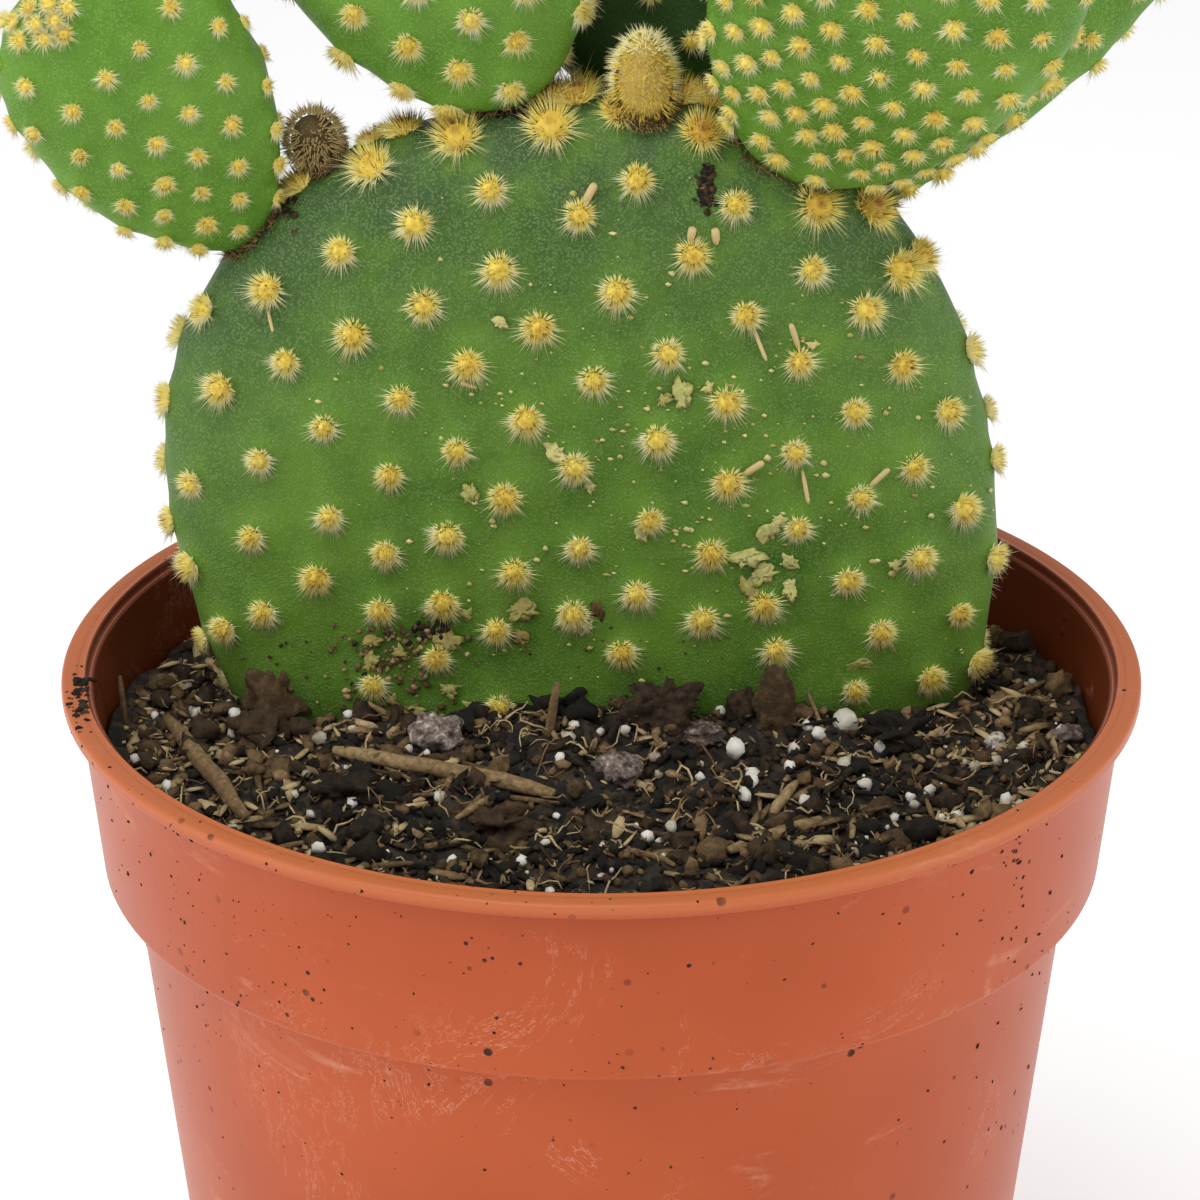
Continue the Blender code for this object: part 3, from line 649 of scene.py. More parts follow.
def soil_finish(name, dark, pale, spacing):
    finish = Finish(name, 0.92)
    crumbs = finish.cell_shades(spacing)
    earth = finish.ramp(crumbs, (0.30, dark), (0.95, pale))
    damp = finish.band(finish.noise(0.004, 5, 0.7), 0.35, 0.65)
    finish.colour(finish.mix(finish.maths("MULTIPLY", damp, 0.6), earth, dark))
    finish.roughness(finish.noise(0.002, 4), 0.6, 1.0)
    finish.bump(finish.noise(spacing, 6, 0.75), 0.0004)
    finish.bump(finish.noise(spacing / 5, 4, 0.7), 0.0001)
    return finish.material


# Pot

def arc(middle, radius, start, end, steps):
    """Points of a round corner in the half section, with angles in degrees from +X."""
    points = []
    for step in range(steps + 1):
        angle = radians(start + (end - start) * step / steps)
        points.append((middle[0] + radius * cos(angle), middle[1] + radius * sin(angle)))
    return points


def pot_outside():
    """Half section from the lip's top over the outside to the middle of the base."""
    slope = (BODY_TOP_RADIUS - BASE_RADIUS) / COLLAR_FOOT_HEIGHT
    points = [(LIP_RADIUS - 1.2 * MM, POT_HEIGHT - 0.05 * MM)]
    points += arc((LIP_RADIUS - 0.5 * MM, POT_HEIGHT - 0.6 * MM), 0.5 * MM, 85, 0, 5)
    points += arc((LIP_RADIUS - 0.4 * MM, POT_HEIGHT - LIP_DEPTH + 0.4 * MM), 0.4 * MM, 0, -85, 4)
    points += arc((COLLAR_TOP_RADIUS + 0.4 * MM, POT_HEIGHT - LIP_DEPTH - 0.4 * MM), 0.4 * MM,
                  90, 176, 4)
    points += [(COLLAR_TOP_RADIUS - 0.85 * MM, 0.5 * (POT_HEIGHT + COLLAR_FOOT_HEIGHT))]
    points += arc((COLLAR_FOOT_RADIUS - 0.7 * MM, COLLAR_FOOT_HEIGHT + 0.7 * MM), 0.7 * MM,
                  0, -80, 5)
    points += arc((BODY_TOP_RADIUS + 0.5 * MM, COLLAR_FOOT_HEIGHT - 0.8 * MM), 0.5 * MM,
                  100, 176, 4)
    for part in range(1, 8):
        height = COLLAR_FOOT_HEIGHT * (1 - part / 8)
        points.append((BASE_RADIUS + slope * height, height))
    points += arc((BASE_RADIUS - 0.8 * MM, 0.9 * MM), 0.9 * MM, 0, -88, 5)
    points += [(CHANNEL_OUTER + 0.5 * MM, 0), (CHANNEL_OUTER, 0.2 * MM),
               (CHANNEL_OUTER - 0.2 * MM, CHANNEL_DEPTH), (CHANNEL_INNER + 0.2 * MM, CHANNEL_DEPTH),
               (CHANNEL_INNER, 0.2 * MM), (CHANNEL_INNER - 0.5 * MM, 0), (6 * MM, 0)]
    return points


def pot_inside():
    """Half section from the lip's top over its ridge and groove down to the floor's middle."""
    slope = (BODY_TOP_RADIUS - BASE_RADIUS) / COLLAR_FOOT_HEIGHT
    inner_top = COLLAR_TOP_RADIUS - WALL
    points = [(LIP_RADIUS - 2.0 * MM, POT_HEIGHT - 0.10 * MM)]
    points += arc((LIP_RADIUS - 2.25 * MM, POT_HEIGHT - 0.2 * MM), 0.2 * MM, 60, 170, 4)
    points += [(inner_top + 0.32 * MM, POT_HEIGHT - 0.8 * MM)]
    points += arc((inner_top, POT_HEIGHT - 1.15 * MM), 0.3 * MM, 60, 180, 4)
    points += [(inner_top - 0.25 * MM, POT_HEIGHT - 3 * MM)]
    for part in range(1, 5):
        height = POT_HEIGHT - part / 4 * (POT_HEIGHT - COLLAR_FOOT_HEIGHT - 1 * MM)
        rise = (height - COLLAR_FOOT_HEIGHT) / (POT_HEIGHT - COLLAR_FOOT_HEIGHT)
        points.append((COLLAR_FOOT_RADIUS - WALL + 1.8 * MM * rise - 0.1 * MM, height))
    points += [(BODY_TOP_RADIUS - WALL, COLLAR_FOOT_HEIGHT - 1.5 * MM)]
    points += [(BASE_RADIUS - WALL + slope * 40 * MM, 40 * MM), (BASE_RADIUS - WALL, FLOOR),
               (6 * MM, FLOOR)]
    return points


def extrude_rings(points, radius, height):
    """Extrudes the selected ring along a half section, and closes it at the axis."""
    for next_radius, next_height in points:
        bpy.ops.mesh.extrude_edges_move(
            TRANSFORM_OT_translate={"value": (0, 0, next_height - height)})
        scale = next_radius / radius
        bpy.ops.transform.resize(value=(scale, scale, 1), center_override=(0, 0, next_height))
        radius, height = next_radius, next_height


def turned_shell(name, start, outside, inside):
    """A closed turned body: one ring, extruded along its outside and then its inside."""
    start_clean()
    radius, height = start
    bpy.ops.mesh.primitive_circle_add(vertices=POT_SIDES, radius=radius, location=(0, 0, height))
    shell = bpy.context.object
    shell.name = name
    bpy.ops.object.transform_apply(location=True, rotation=True, scale=True)
    bpy.ops.object.mode_set(mode="EDIT")
    bpy.ops.mesh.select_mode(type="EDGE")
    bpy.ops.mesh.select_all(action="SELECT")
    extrude_rings(outside, radius, height)
    bpy.ops.mesh.merge(type="CENTER")
    bpy.ops.mesh.select_all(action="DESELECT")
    bpy.ops.mesh.select_non_manifold()
    extrude_rings(inside, radius, height)
    bpy.ops.mesh.merge(type="CENTER")
    bpy.ops.mesh.select_all(action="SELECT")
    bpy.ops.mesh.normals_make_consistent(inside=False)
    bpy.ops.object.mode_set(mode="OBJECT")
    return shell


def drill_pot(pot):
    """Cuts the drain holes in the channel of the pot's foot."""
    ring = (CHANNEL_INNER + CHANNEL_OUTER) / 2
    for hole in range(DRAIN_HOLES):
        angle = 2 * pi * (hole + 0.5) / DRAIN_HOLES
        start_clean()
        bpy.ops.mesh.primitive_cylinder_add(
            vertices=32, radius=DRAIN_HOLE_RADIUS, depth=4 * FLOOR,
            location=(ring * cos(angle), ring * sin(angle), FLOOR / 2))
        drill = bpy.context.object
        cut = pot.modifiers.new("drain hole", "BOOLEAN")
        cut.operation = "DIFFERENCE"
        cut.object = drill
        bpy.context.view_layer.objects.active = pot
        bpy.ops.object.modifier_apply(modifier=cut.name)
        bpy.data.objects.remove(drill)


def make_pot():
    start = (LIP_RADIUS - 1.6 * MM, POT_HEIGHT - 0.07 * MM)
    pot = turned_shell("pot_shell", start, pot_outside(), pot_inside())
    drill_pot(pot)
    pot.data.shade_smooth()
    pot.data.set_sharp_from_angle(angle=radians(50))
    return finish_piece(pot, "pot_plastic", pot_plastic(), "pot")


# Soil

def soil_top(x, y):
    """Height of the soil without its crumbs."""
    from_pad = max(abs(y - MAIN.base[1] * MM) - MAIN.half_depth * MM, 0)
    beside_pad = SOIL_BESIDE_PAD * exp(-(from_pad / SOIL_BESIDE_REACH) ** 2)
    out = (x / HEAP_HALF_WIDTH) ** 2 + ((y - HEAP_MIDDLE_Y) / HEAP_HALF_DEPTH) ** 2
    lump = SOIL_LUMP * noise.noise(Vector((x, y, 0)) / SOIL_LUMP_SPACING)
    return SOIL_AT_WALL + beside_pad + SOIL_HEAP * exp(-out) + lump


def soil_radius(height):
    """Radius of the pot's inside at a height, less the gap."""
    if height > COLLAR_FOOT_HEIGHT:
        rise = (height - COLLAR_FOOT_HEIGHT) / (POT_HEIGHT - LIP_DEPTH - COLLAR_FOOT_HEIGHT)
        outside = COLLAR_FOOT_RADIUS + rise * (COLLAR_TOP_RADIUS - COLLAR_FOOT_RADIUS)
    else:
        rise = height / COLLAR_FOOT_HEIGHT
        outside = BASE_RADIUS + rise * (BODY_TOP_RADIUS - BASE_RADIUS)
    return outside - WALL - 1.5 * GAP


def crumbly(x, y):
    """Fine relief of the soil."""
    spot = Vector((x, y, 0))
    coarse = noise.turbulence(spot / (3.2 * MM), 3, True)
    fine = noise.noise(spot / (0.9 * MM))
    return (1.3 * coarse - 0.8 + 0.35 * fine) * MM


def make_soil_bed(finish):
    """Rings from the middle of the top out to the wall, then down to the pot's floor."""
    start_clean()
    rim = soil_radius(SOIL_AT_WALL)
    first = rim / SOIL_RINGS
    bpy.ops.mesh.primitive_circle_add(vertices=SOIL_SIDES, radius=first, fill_type="NGON",
                                      location=(0, 0, SOIL_AT_WALL))
    bed = bpy.context.object
    bed.name = "soil_bed"
    bpy.ops.object.transform_apply(location=True, rotation=True, scale=True)
    bpy.ops.object.mode_set(mode="EDIT")
    bpy.ops.mesh.select_mode(type="EDGE")
    bpy.ops.mesh.select_all(action="SELECT")
    bpy.ops.mesh.region_to_loop()
    top = [(rim * ring / SOIL_RINGS, SOIL_AT_WALL) for ring in range(2, SOIL_RINGS + 1)]
    ledge = COLLAR_FOOT_HEIGHT + 2 * MM
    foot = COLLAR_FOOT_HEIGHT - 3 * MM
    side = [(soil_radius(ledge), ledge), (soil_radius(foot), foot),
            (soil_radius(FLOOR), FLOOR + GAP)]
    extrude_rings(top + side, first, SOIL_AT_WALL)
    bpy.ops.mesh.edge_face_add()
    bpy.ops.mesh.select_all(action="SELECT")
    bpy.ops.mesh.normals_make_consistent(inside=False)
    bpy.ops.object.mode_set(mode="OBJECT")
    for point in bed.data.vertices:
        x, y, z = point.co
        if z > SOIL_AT_WALL - 1 * MM:
            point.co.z = soil_top(x, y) + crumbly(x, y)
    bed.data.shade_smooth()
    return finish_piece(bed, "potting_soil", finish, "soil")


# Litter on the soil

def ground(x, y):
    return soil_top(x, y) + crumbly(x, y)


def ground_spots(draw, count, edge, pad_tree):
    """Random places on the soil, clear of the wall by edge and outside the old pad."""
    reach = soil_radius(SOIL_AT_WALL) - edge
    spots = []
    while len(spots) < count:
        radius, angle = reach * sqrt(draw.uniform()), draw.uniform(0, 2 * pi)
        x, y = radius * cos(angle), radius * sin(angle)
        spot = Vector((x, y, ground(x, y)))
        nearest, normal, _, _ = pad_tree.find_nearest(spot)
        if (spot - nearest).dot(normal) > 0.2 * MM:
            spots.append(spot)
    return np.array(spots)


def skewed(draw, count, low, high, power):
    """Random values from low to high, most of them low."""
    return low + (high - low) * draw.uniform(0, 1, count) ** power


def make_crumbs(pad_tree, earth):
    """Peat crumbs in two sizes, and flat chips of bark and leaf, paler towards the sides as painted
    light.
    """
    draw = np.random.default_rng(31)
    kinds = (("peat_crumbs", 4600, (0.25, 0.80), (0.9, 1.0, 0.8), 0.8, 1, 0.9, 0.74),
             ("peat_clods", 420, (0.8, 1.7), (1.0, 0.9, 0.75), 1.0, 2, 0.9, 0.62),
             ("bark_chips", 2600, (0.40, 1.4), (1.7, 0.50, 0.20), 0.5, 1, 0.60, 1.05))
    for name, count, sizes, shape, roughness, subdivisions, tilt, lightest in kinds:
        models = [lump_model(seed, roughness, subdivisions) for seed in range(1, 6)]
        spots = ground_spots(draw, count, (sizes[1] * shape[0] + 0.3) * MM, pad_tree)
        size = skewed(draw, count, *sizes, 2.2) * MM
        shape = np.array(shape) * draw.uniform(0.75, 1.25, (count, 3))
        turns = scaled_turns(draw, size[:, None] * shape, tilt)
        spots[:, 2] += draw.uniform(-0.1, 0.7, count) * size
        shades = skewed(draw, count, 0.12, lightest, 1.2)
        # Painted light: paler towards the sides, against the shade of the pot's wall.
        shades += SIDE_PAINTED_LIGHT * (np.abs(spots[:, 0]) / LIP_RADIUS) ** 2
        piece = mixed_copies(name, models, turns, spots, shades)
        finish_piece(piece, "potting_soil", earth)


def make_perlite(pad_tree, ground_tree, white):
    """White grains at their places in the photo, and smaller ones strewn between."""
    draw = np.random.default_rng(32)
    placed = [seen_on(ground_tree, pixel) for pixel, _ in PERLITE_GRAINS]
    strewn = ground_spots(draw, PERLITE_STREWN, 1.5 * MM, pad_tree)
    spots = np.vstack((np.array(placed), strewn))
    size = np.concatenate(([radius for _, radius in PERLITE_GRAINS],
                           skewed(draw, PERLITE_STREWN, 0.22, 0.80, 2.0))) * MM
    turns = scaled_turns(draw, size[:, None] * draw.uniform(0.75, 1.1, (len(size), 3)), 1.0)
    spots[:, 2] += 0.6 * size
    shades = draw.uniform(0.40, 1.0, len(size))
    count = len(placed)
    for name, own, subdivisions in (("perlite_grains", slice(count), 2),
                                    ("perlite_strewn", slice(count, None), 1)):
        models = [lump_model(seed, 0.45, subdivisions) for seed in range(11, 16)]
        piece = mixed_copies(name, models, turns[own], spots[own], shades[own], True)
        finish_piece(piece, "potting_soil", white)


def make_fibres(pad_tree, earth):
    """Fine roots and plant fibres that wander over the soil."""
    draw = np.random.default_rng(33)
    paths = []
    for spot in ground_spots(draw, 700, 4 * MM, pad_tree):
        heading, path = draw.uniform(0, 2 * pi), []
        stride = draw.uniform(0.35, 0.9) * MM
        lift = draw.uniform(0.2, 0.9) * MM
        x, y = spot[:2]
        for _ in range(6):
            x, y = x + stride * cos(heading), y + stride * sin(heading)
            heading += draw.normal(0, 0.55)
            path.append((x, y, ground(x, y) + lift))
            lift *= draw.uniform(0.6, 1.5)
        paths.append(path)
    thickness = draw.uniform(0.06, 0.16, len(paths)) * MM
    shades = draw.uniform(0.60, 1.05, len(paths))
    piece = tubes("root_fibres", paths, thickness, shades, 3)
    finish_piece(piece, "potting_soil", earth)


def lying_path(ground_tree, start, end, rise, steps=7):
    """A slightly bent path over the soil between two pixels of the photo."""
    ends = [seen_on(ground_tree, start), seen_on(ground_tree, end)]
    path = []
    for step in range(steps):
        spot = ends[0].lerp(ends[1], step / (steps - 1))
        bend = 0.35 * noise.noise(600 * spot) * MM
        path.append(spot + Vector((bend, bend, rise)))
    return path


def make_sticks(ground_tree, wood):
    """Sticks, twigs and straws at their places in the photo, some lying and some upright."""
    paths, thickness, shades = [], [], []
    for start, end, radius, shade in STICKS:
        paths.append(lying_path(ground_tree, start, end, 1.1 * radius * MM))
        thickness.append(radius * MM)
        shades.append(shade)
    for foot, tip, radius, shade in UPRIGHTS:
        base = seen_on(ground_tree, foot)
        direction = sight(tip)
        top = CAMERA_PLACE + direction * (base.y - 1 * MM - CAMERA_PLACE.y) / direction.y
        base = base - Vector((0, 0, 1.5 * MM))
        paths.append([base.lerp(top, step / 4) for step in range(5)])
        thickness.append(radius * MM)
        shades.append(shade)
    piece = tubes("sticks", paths, thickness, shades, 9)
    finish_piece(piece, "potting_soil", wood)


def make_splinters(pad_tree, wood):
    draw = np.random.default_rng(34)
    paths = []
    for spot in ground_spots(draw, 150, 5 * MM, pad_tree):
        heading = draw.uniform(0, 2 * pi)
        half = draw.uniform(1.0, 3.2) * MM
        step = Vector((cos(heading), sin(heading), draw.normal(0, 0.22)))
        middle = Vector(spot) + Vector((0, 0, 0.5 * MM))
        paths.append([middle + part * half * step for part in (-1, -0.4, 0.3, 1)])
    thickness = draw.uniform(0.12, 0.42, len(paths)) * MM
    piece = tubes("splinters", paths, thickness, draw.uniform(0.2, 0.8, len(paths)), 5)
    finish_piece(piece, "potting_soil", wood)


def make_stones(ground_tree, earth, grit):
    """The larger grains and lumps that the photo shows, each with its own shape and shade."""
    for number, (name, pixel, scale, lift, shade, rough) in enumerate(STONES):
        draw = np.random.default_rng(60 + number)
        spot = seen_on(ground_tree, pixel) + Vector((0, 0, lift * MM))
        model = lump_model(20 + number, rough, 4)
        turn = np.array(Matrix.Rotation(draw.uniform(-0.4, 0.4), 3, "Z")) * np.array(scale) * MM
        piece = mixed_copies(name, [model], np.array([turn]), np.array([spot]),
                             np.array([shade]), True)
        finish_piece(piece, "potting_soil", grit if name.startswith("grain") else earth)


# Pads

def pad_placement(pad):
    """Matrix from a pad's own axes (x across, y to its back, z from foot to tip)."""
    up = Vector(pad.axis).normalized()
    back = Vector(pad.back)
    back = (back - back.dot(up) * up).normalized()
    across = back.cross(up)
    turn = Matrix((across, back, up)).transposed().to_4x4()
    return Matrix.Translation(Vector(pad.base) * MM) @ turn


def skin_points(pad, ways):
    """The points of the pad's skin that unit vectors from its middle stand for."""
    x, y, z = np.asarray(ways, float).T
    flat = (np.abs(x) ** pad.squareness + np.abs(z) ** pad.squareness) ** (1 / pad.squareness)
    reach = (flat ** FLATNESS + np.abs(y) ** FLATNESS) ** (-1 / FLATNESS)
    along = np.maximum((1 + reach * z) / 2, 0) ** (1 / pad.taper)
    return MM * np.column_stack((pad.half_width * reach * x, pad.half_depth * reach * y,
                                 pad.length * along))


def skin_point(pad, way):
    return Vector(skin_points(pad, [way])[0])


def skin_way(pad, x, z, side):
    """The unit vector of the front (-1) or back (1) skin over a point of the mid-plane."""
    across = x / pad.half_width
    along = 2 * max(z / pad.length, 0) ** pad.taper - 1
    flat = (abs(across) ** pad.squareness + abs(along) ** pad.squareness) ** (1 / pad.squareness)
    if flat >= 1:
        return None
    depth = side * (1 - flat ** FLATNESS) ** (1 / FLATNESS)
    return Vector((across, depth, along)).normalized()


def way_at(pad, point):
    """The unit vector that stands for a point of the skin."""
    x, y, z = pad_placement(pad).inverted() @ point / MM
    along = 2 * max(z / pad.length, 0) ** pad.taper - 1
    return Vector((x / pad.half_width, y / pad.half_depth, along)).normalized()


def skin_normal(pad, way):
    first = way.orthogonal().normalized()
    second = way.cross(first)
    tiny = 0.001
    steps = [way, (way + tiny * first).normalized(), (way + tiny * second).normalized()]
    here, along_first, along_second = (Vector(point) for point in skin_points(pad, steps))
    return (along_first - here).cross(along_second - here).normalized()


def face_sites(pad, draw):
    """Oblique rows of tufts on both faces, as growth leaves them."""
    start = Vector((FIRST_TUFT[0] * pad.pitch, FIRST_TUFT[1] * pad.length))
    reach = int(1.5 * pad.length / pad.pitch)
    sites = []
    for side in (-1, 1):
        for i in range(-reach, reach):
            for j in range(-reach, reach):
                step = i * STEP_IN_ROW + j * STEP_TO_ROW
                step.y += ROW_BOW * (i * i + i * j + j * j)
                stray = TUFT_STRAY * Vector(draw.uniform(-1, 1, 2))
                spot = start + pad.pitch * (step + stray)
                way = skin_way(pad, -side * spot.x, spot.y, side)
                if way:
                    sites.append(way)
    return sites


def rim_sites(pad, draw):
    """Tufts along the narrow rim, every other one a little to the front."""
    around = 2 * pi * (pad.half_width + pad.length / 2) / 2
    count = max(int(around / (0.8 * pad.pitch)), 6)
    sites = []
    for index in range(count):
        angle = 2 * pi * index / count + draw.uniform(-0.03, 0.03)
        lean = 0.16 * (1 if index % 2 else -1)
        sites.append(Vector((sin(angle), lean, -cos(angle))).normalized())
    return sites


def is_free(point, others):
    """True where a tuft at the point stays clear of every other pad and of the soil."""
    if point.z < soil_top(point.x, point.y) + SOIL_ROOM:
        return False
    for tree in others:
        nearest, normal, _, distance = tree.find_nearest(point)
        if distance < TUFT_ROOM or (point - nearest).dot(normal) < 0:
            return False
    return True


def tuft_sites(pad, others, seen):
    """All tufts: the ones that the photo shows, then the rule's ones on the edge and back."""
    draw = np.random.default_rng(pad.seed)
    place = pad_placement(pad)
    kept = list(seen)
    spots = skin_points(pad, [tuft.way for tuft in kept]) if kept else np.zeros((0, 3))
    for way in face_sites(pad, draw) + rim_sites(pad, draw):
        if pad is MAIN and way.y < -0.3:
            continue
        point = skin_point(pad, way)
        gaps = np.linalg.norm(spots - np.array(point), axis=1)
        if gaps.size and gaps.min() < TUFTS_APART * pad.pitch * MM:
            continue
        if is_free(place @ point, others):
            kept.append(Tuft(way, draw.uniform(0.84, 1.14), abs(draw.normal(0, 0.08))))
            spots = np.vstack((spots, point))
    return kept


def main_pad_tufts(tree):
    """Tufts of the old pad at their places in the photo, larger towards the top."""
    draw = np.random.default_rng(77)
    tufts = []
    for place, size, age in RIM_TUFTS:
        tufts.append(Tuft(way_at(MAIN, seen_on(tree, place)), size, age))
    for place in sum(FRONT_ROWS, []):
        size = (1.22 - 0.42 * place[1] / PHOTO_SIDE) * draw.uniform(0.84, 1.10)
        tufts.append(Tuft(way_at(MAIN, seen_on(tree, place)), size, abs(draw.normal(0, 0.08))))
    return tufts


def round_model(fineness):
    start_clean()
    bpy.ops.mesh.primitive_ico_sphere_add(subdivisions=fineness, radius=1)
    return take_model()


def smooth_body(pad):
    """A search tree of the bare pad."""
    ways, triangles = round_model(5)
    place = pad_placement(pad)
    points = [place @ Vector(point) for point in skin_points(pad, ways)]
    return BVHTree.FromPolygons(points, triangles.tolist())


def make_skin(pad, sites, finish, slot):
    """The pad's skin: a fine sphere shaped to the pad, with low swells and tuft seats."""
    ways, triangles = round_model(pad.fineness)
    place = pad_placement(pad)
    points = skin_points(pad, ways)
    centres = KDTree(max(len(sites), 1))
    for number, tuft in enumerate(sites):
        centres.insert(skin_point(pad, tuft.way), number)
    centres.balance()
    near = np.ones(len(ways))
    if sites:
        near = np.array([centres.find(Vector(point))[2] for point in points])
    swell = np.array([noise.noise(Vector(point) / (9 * MM) + Vector((pad.seed, 0, 0)))
                      for point in points])
    reach = 0.34 * pad.pitch * MM
    seat = np.exp(-(near / reach) ** 2)
    lift = (0.40 * pad.tuft * seat + 0.32 * swell - 0.25) * MM
    skin = mesh_object(pad.name + "_skin", points, triangles, True, near_tuft=seat,
                       facing_front=-ways[:, 1])
    out = np.zeros(3 * len(points), np.float32)
    skin.data.vertices.foreach_get("normal", out)
    points = points + out.reshape(-1, 3) * lift[:, None]
    turn = np.array(place.to_3x3())
    points = points @ turn.T + np.array(place.translation)
    skin.data.vertices.foreach_set("co", points.astype(np.float32).ravel())
    skin.data.update()
    return finish_piece(skin, slot, finish, pad.name)


# Tufts

def bristle_model():
    """One spine, a unit long along Z from its root, with a three-sided root."""
    start_clean()
    bpy.ops.mesh.primitive_cone_add(vertices=3, radius1=1, radius2=0, depth=1,
                                    end_fill_type="NOTHING", location=(0, 0, 0.5))
    return take_model()


def bristle_turns(roots, tips, thickness):
    """Matrices that lay the spine model from each root to its tip."""
    along = tips - roots
    spare = np.where(np.abs(along[:, 2:]) < 0.8 * np.linalg.norm(along, axis=1)[:, None],
                     [[0.0, 0.0, 1.0]], [[1.0, 0.0, 0.0]])
    first = np.cross(spare, along)
    first /= np.linalg.norm(first, axis=1)[:, None]
    second = np.cross(along, first)
    second /= np.linalg.norm(second, axis=1)[:, None]
    thickness = np.broadcast_to(thickness, len(roots))[:, None]
    return np.stack((first * thickness, second * thickness, along), axis=2)


def bristle_piece(name, roots, tips, thickness, root_shades, tip_shades):
    """Spines from roots to tips, each with a shade at its root and one at its tip."""
    points, _ = SPINE
    is_tip = points[:, 2] > 0.5
    shades = np.where(is_tip[None, :], tip_shades[:, None], root_shades[:, None])
    return copies(name, SPINE, bristle_turns(roots, tips, thickness), roots, shade=shades)


def tuft_pattern(draw, bristles, hairs):
    """Roots, tips, shades and thickness of one tuft of unit size, in mm.

    +Z stands off the skin and +Y is up. Short bristles make a brush with a dark fleck in its
    middle, and longer pale hairs lie round it, most of them downwards and to the sides, some
    of them gathered in pointed locks.
    """
    height = draw.uniform(0, 1, bristles) ** 0.8
    around = draw.uniform(0, 2 * pi, bristles)
    out = np.sqrt(1 - height ** 2)
    stretch = draw.uniform(0.84, 1.12, bristles) * np.where(height > 0.96, 0.70, 1)
    tips = np.column_stack((1.75 * out * np.cos(around), 1.75 * out * np.sin(around),
                            1.30 * height + 0.34)) * stretch[:, None]
    roots = tips * [[0.50, 0.50, 0]] - [[0, 0, 0.1]]
    shades = 0.84 - 0.32 * height - 0.05 * np.sin(around) * out + draw.normal(0, 0.07, bristles)
    flecks = (height > 0.80) & (draw.uniform(0, 1, bristles) < 0.30)
    shades[flecks] = draw.uniform(0.12, 0.30, int(flecks.sum()))
    low = draw.uniform(0, 1, hairs) < 0.66
    bearing = np.where(low, draw.normal(-pi / 2, 0.85, hairs), draw.uniform(0, 2 * pi, hairs))
    lock = draw.uniform(0, 1, hairs) < 0.3
    bearing = np.where(lock, -pi / 2 + 0.9 * np.round((bearing + pi / 2) / 0.9), bearing)
    bearing += np.where(lock, draw.normal(0, 0.05, hairs), 0)
    length = np.where(np.sin(bearing) < 0.2, draw.uniform(1.9, 2.8, hairs),
                      draw.uniform(1.7, 2.3, hairs))
    rise = np.where(lock, 0.22, draw.uniform(0.08, 0.60, hairs))
    hair_tips = np.column_stack((length * np.cos(bearing), length * np.sin(bearing),
                                 length * rise))
    hair_roots = hair_tips * [[0.25, 0.25, 0.2]]
    hair_shades = draw.uniform(0.84, 1.0, hairs)
    return (np.vstack((roots, hair_roots)), np.vstack((tips, hair_tips)),
            np.concatenate((shades - 0.08, hair_shades - 0.06)),
            np.concatenate((shades, hair_shades)),
            np.concatenate((np.full(bristles, 0.080), np.full(hairs, 0.045))))


def tuft_frame(pad, way):
    """Where a tuft stands, and the matrix of its own right, up and outward directions."""
    place = pad_placement(pad)
    turn = place.to_3x3()
    normal = (turn @ skin_normal(pad, way)).normalized()
    upward = Vector((0, 0, 1)) - normal.z * normal
    if upward.length < 0.2:
        upward = turn @ Vector((0, 0, 1))
        upward -= upward.dot(normal) * normal
    upward.normalize()
    frame_turn = Matrix((upward.cross(normal), upward, normal)).transposed()
    return np.array(place @ skin_point(pad, way)), np.array(frame_turn)


def make_tufts(pad, tufts, finish):
    """All tufts of a pad: one piece of cushions and one of spines."""
    draw = np.random.default_rng(pad.seed + 200)
    patterns = [tuft_pattern(draw, pad.bristles, pad.hairs) for _ in range(8)]
    roots, tips, low, high, thick, turns, spots, ages = [], [], [], [], [], [], [], []
    for tuft in tufts:
        pattern = patterns[draw.integers(len(patterns))]
        spot, turn = tuft_frame(pad, tuft.way)
        spin = np.array(Matrix.Rotation(draw.uniform(-0.35, 0.35), 3, "Z"))
        own = turn @ spin * (pad.tuft * MM * tuft.size)
        roots.append(pattern[0] @ own.T + spot)
        tips.append(pattern[1] @ own.T + spot)
        aged = draw.normal(0, 0.03) - 0.30 * tuft.age
        low.append(pattern[2] + aged)
        high.append(pattern[3] + aged)
        thick.append(pattern[4] * MM * (0.5 + 0.5 * pad.tuft))
        turns.append(own)
        spots.append(spot)
        ages.append(aged)
    piece = bristle_piece(pad.name + "_spines", np.vstack(roots), np.vstack(tips),
                          np.concatenate(thick), np.concatenate(low), np.concatenate(high))
    finish_piece(piece, "glochids", finish)
    model_points, _ = CUSHION
    is_middle = np.hypot(model_points[:, 0], model_points[:, 1]) < 0.2
    shades = 0.48 - 0.20 * is_middle + np.array(ages)[:, None]
    piece = copies(pad.name + "_cushions", CUSHION, np.array(turns), np.array(spots), True,
                   shade=shades)
    finish_piece(piece, "glochids", finish)


def cushion_model():
    """The low dome under a tuft's bristles, cut off below the skin, with an uneven top."""
    start_clean()
    bpy.ops.mesh.primitive_uv_sphere_add(segments=8, ring_count=6, radius=0.98)
    dome = bpy.context.object
    bpy.ops.object.mode_set(mode="EDIT")
    bpy.ops.mesh.select_all(action="SELECT")
    bpy.ops.mesh.bisect(plane_co=(0, 0, 0), plane_no=(0, 0, 1), clear_inner=True, use_fill=True)
    bpy.ops.mesh.select_all(action="SELECT")
    bpy.ops.transform.resize(value=(1, 1, 1.2))
    bpy.ops.transform.translate(value=(0, 0, -0.25))
    bpy.ops.object.mode_set(mode="OBJECT")
    for point in dome.data.vertices:
        point.co *= 1 + 0.12 * noise.noise(4 * point.co)
        if point.co.z > 0.80:
            point.co.z -= 0.10
    return take_model()


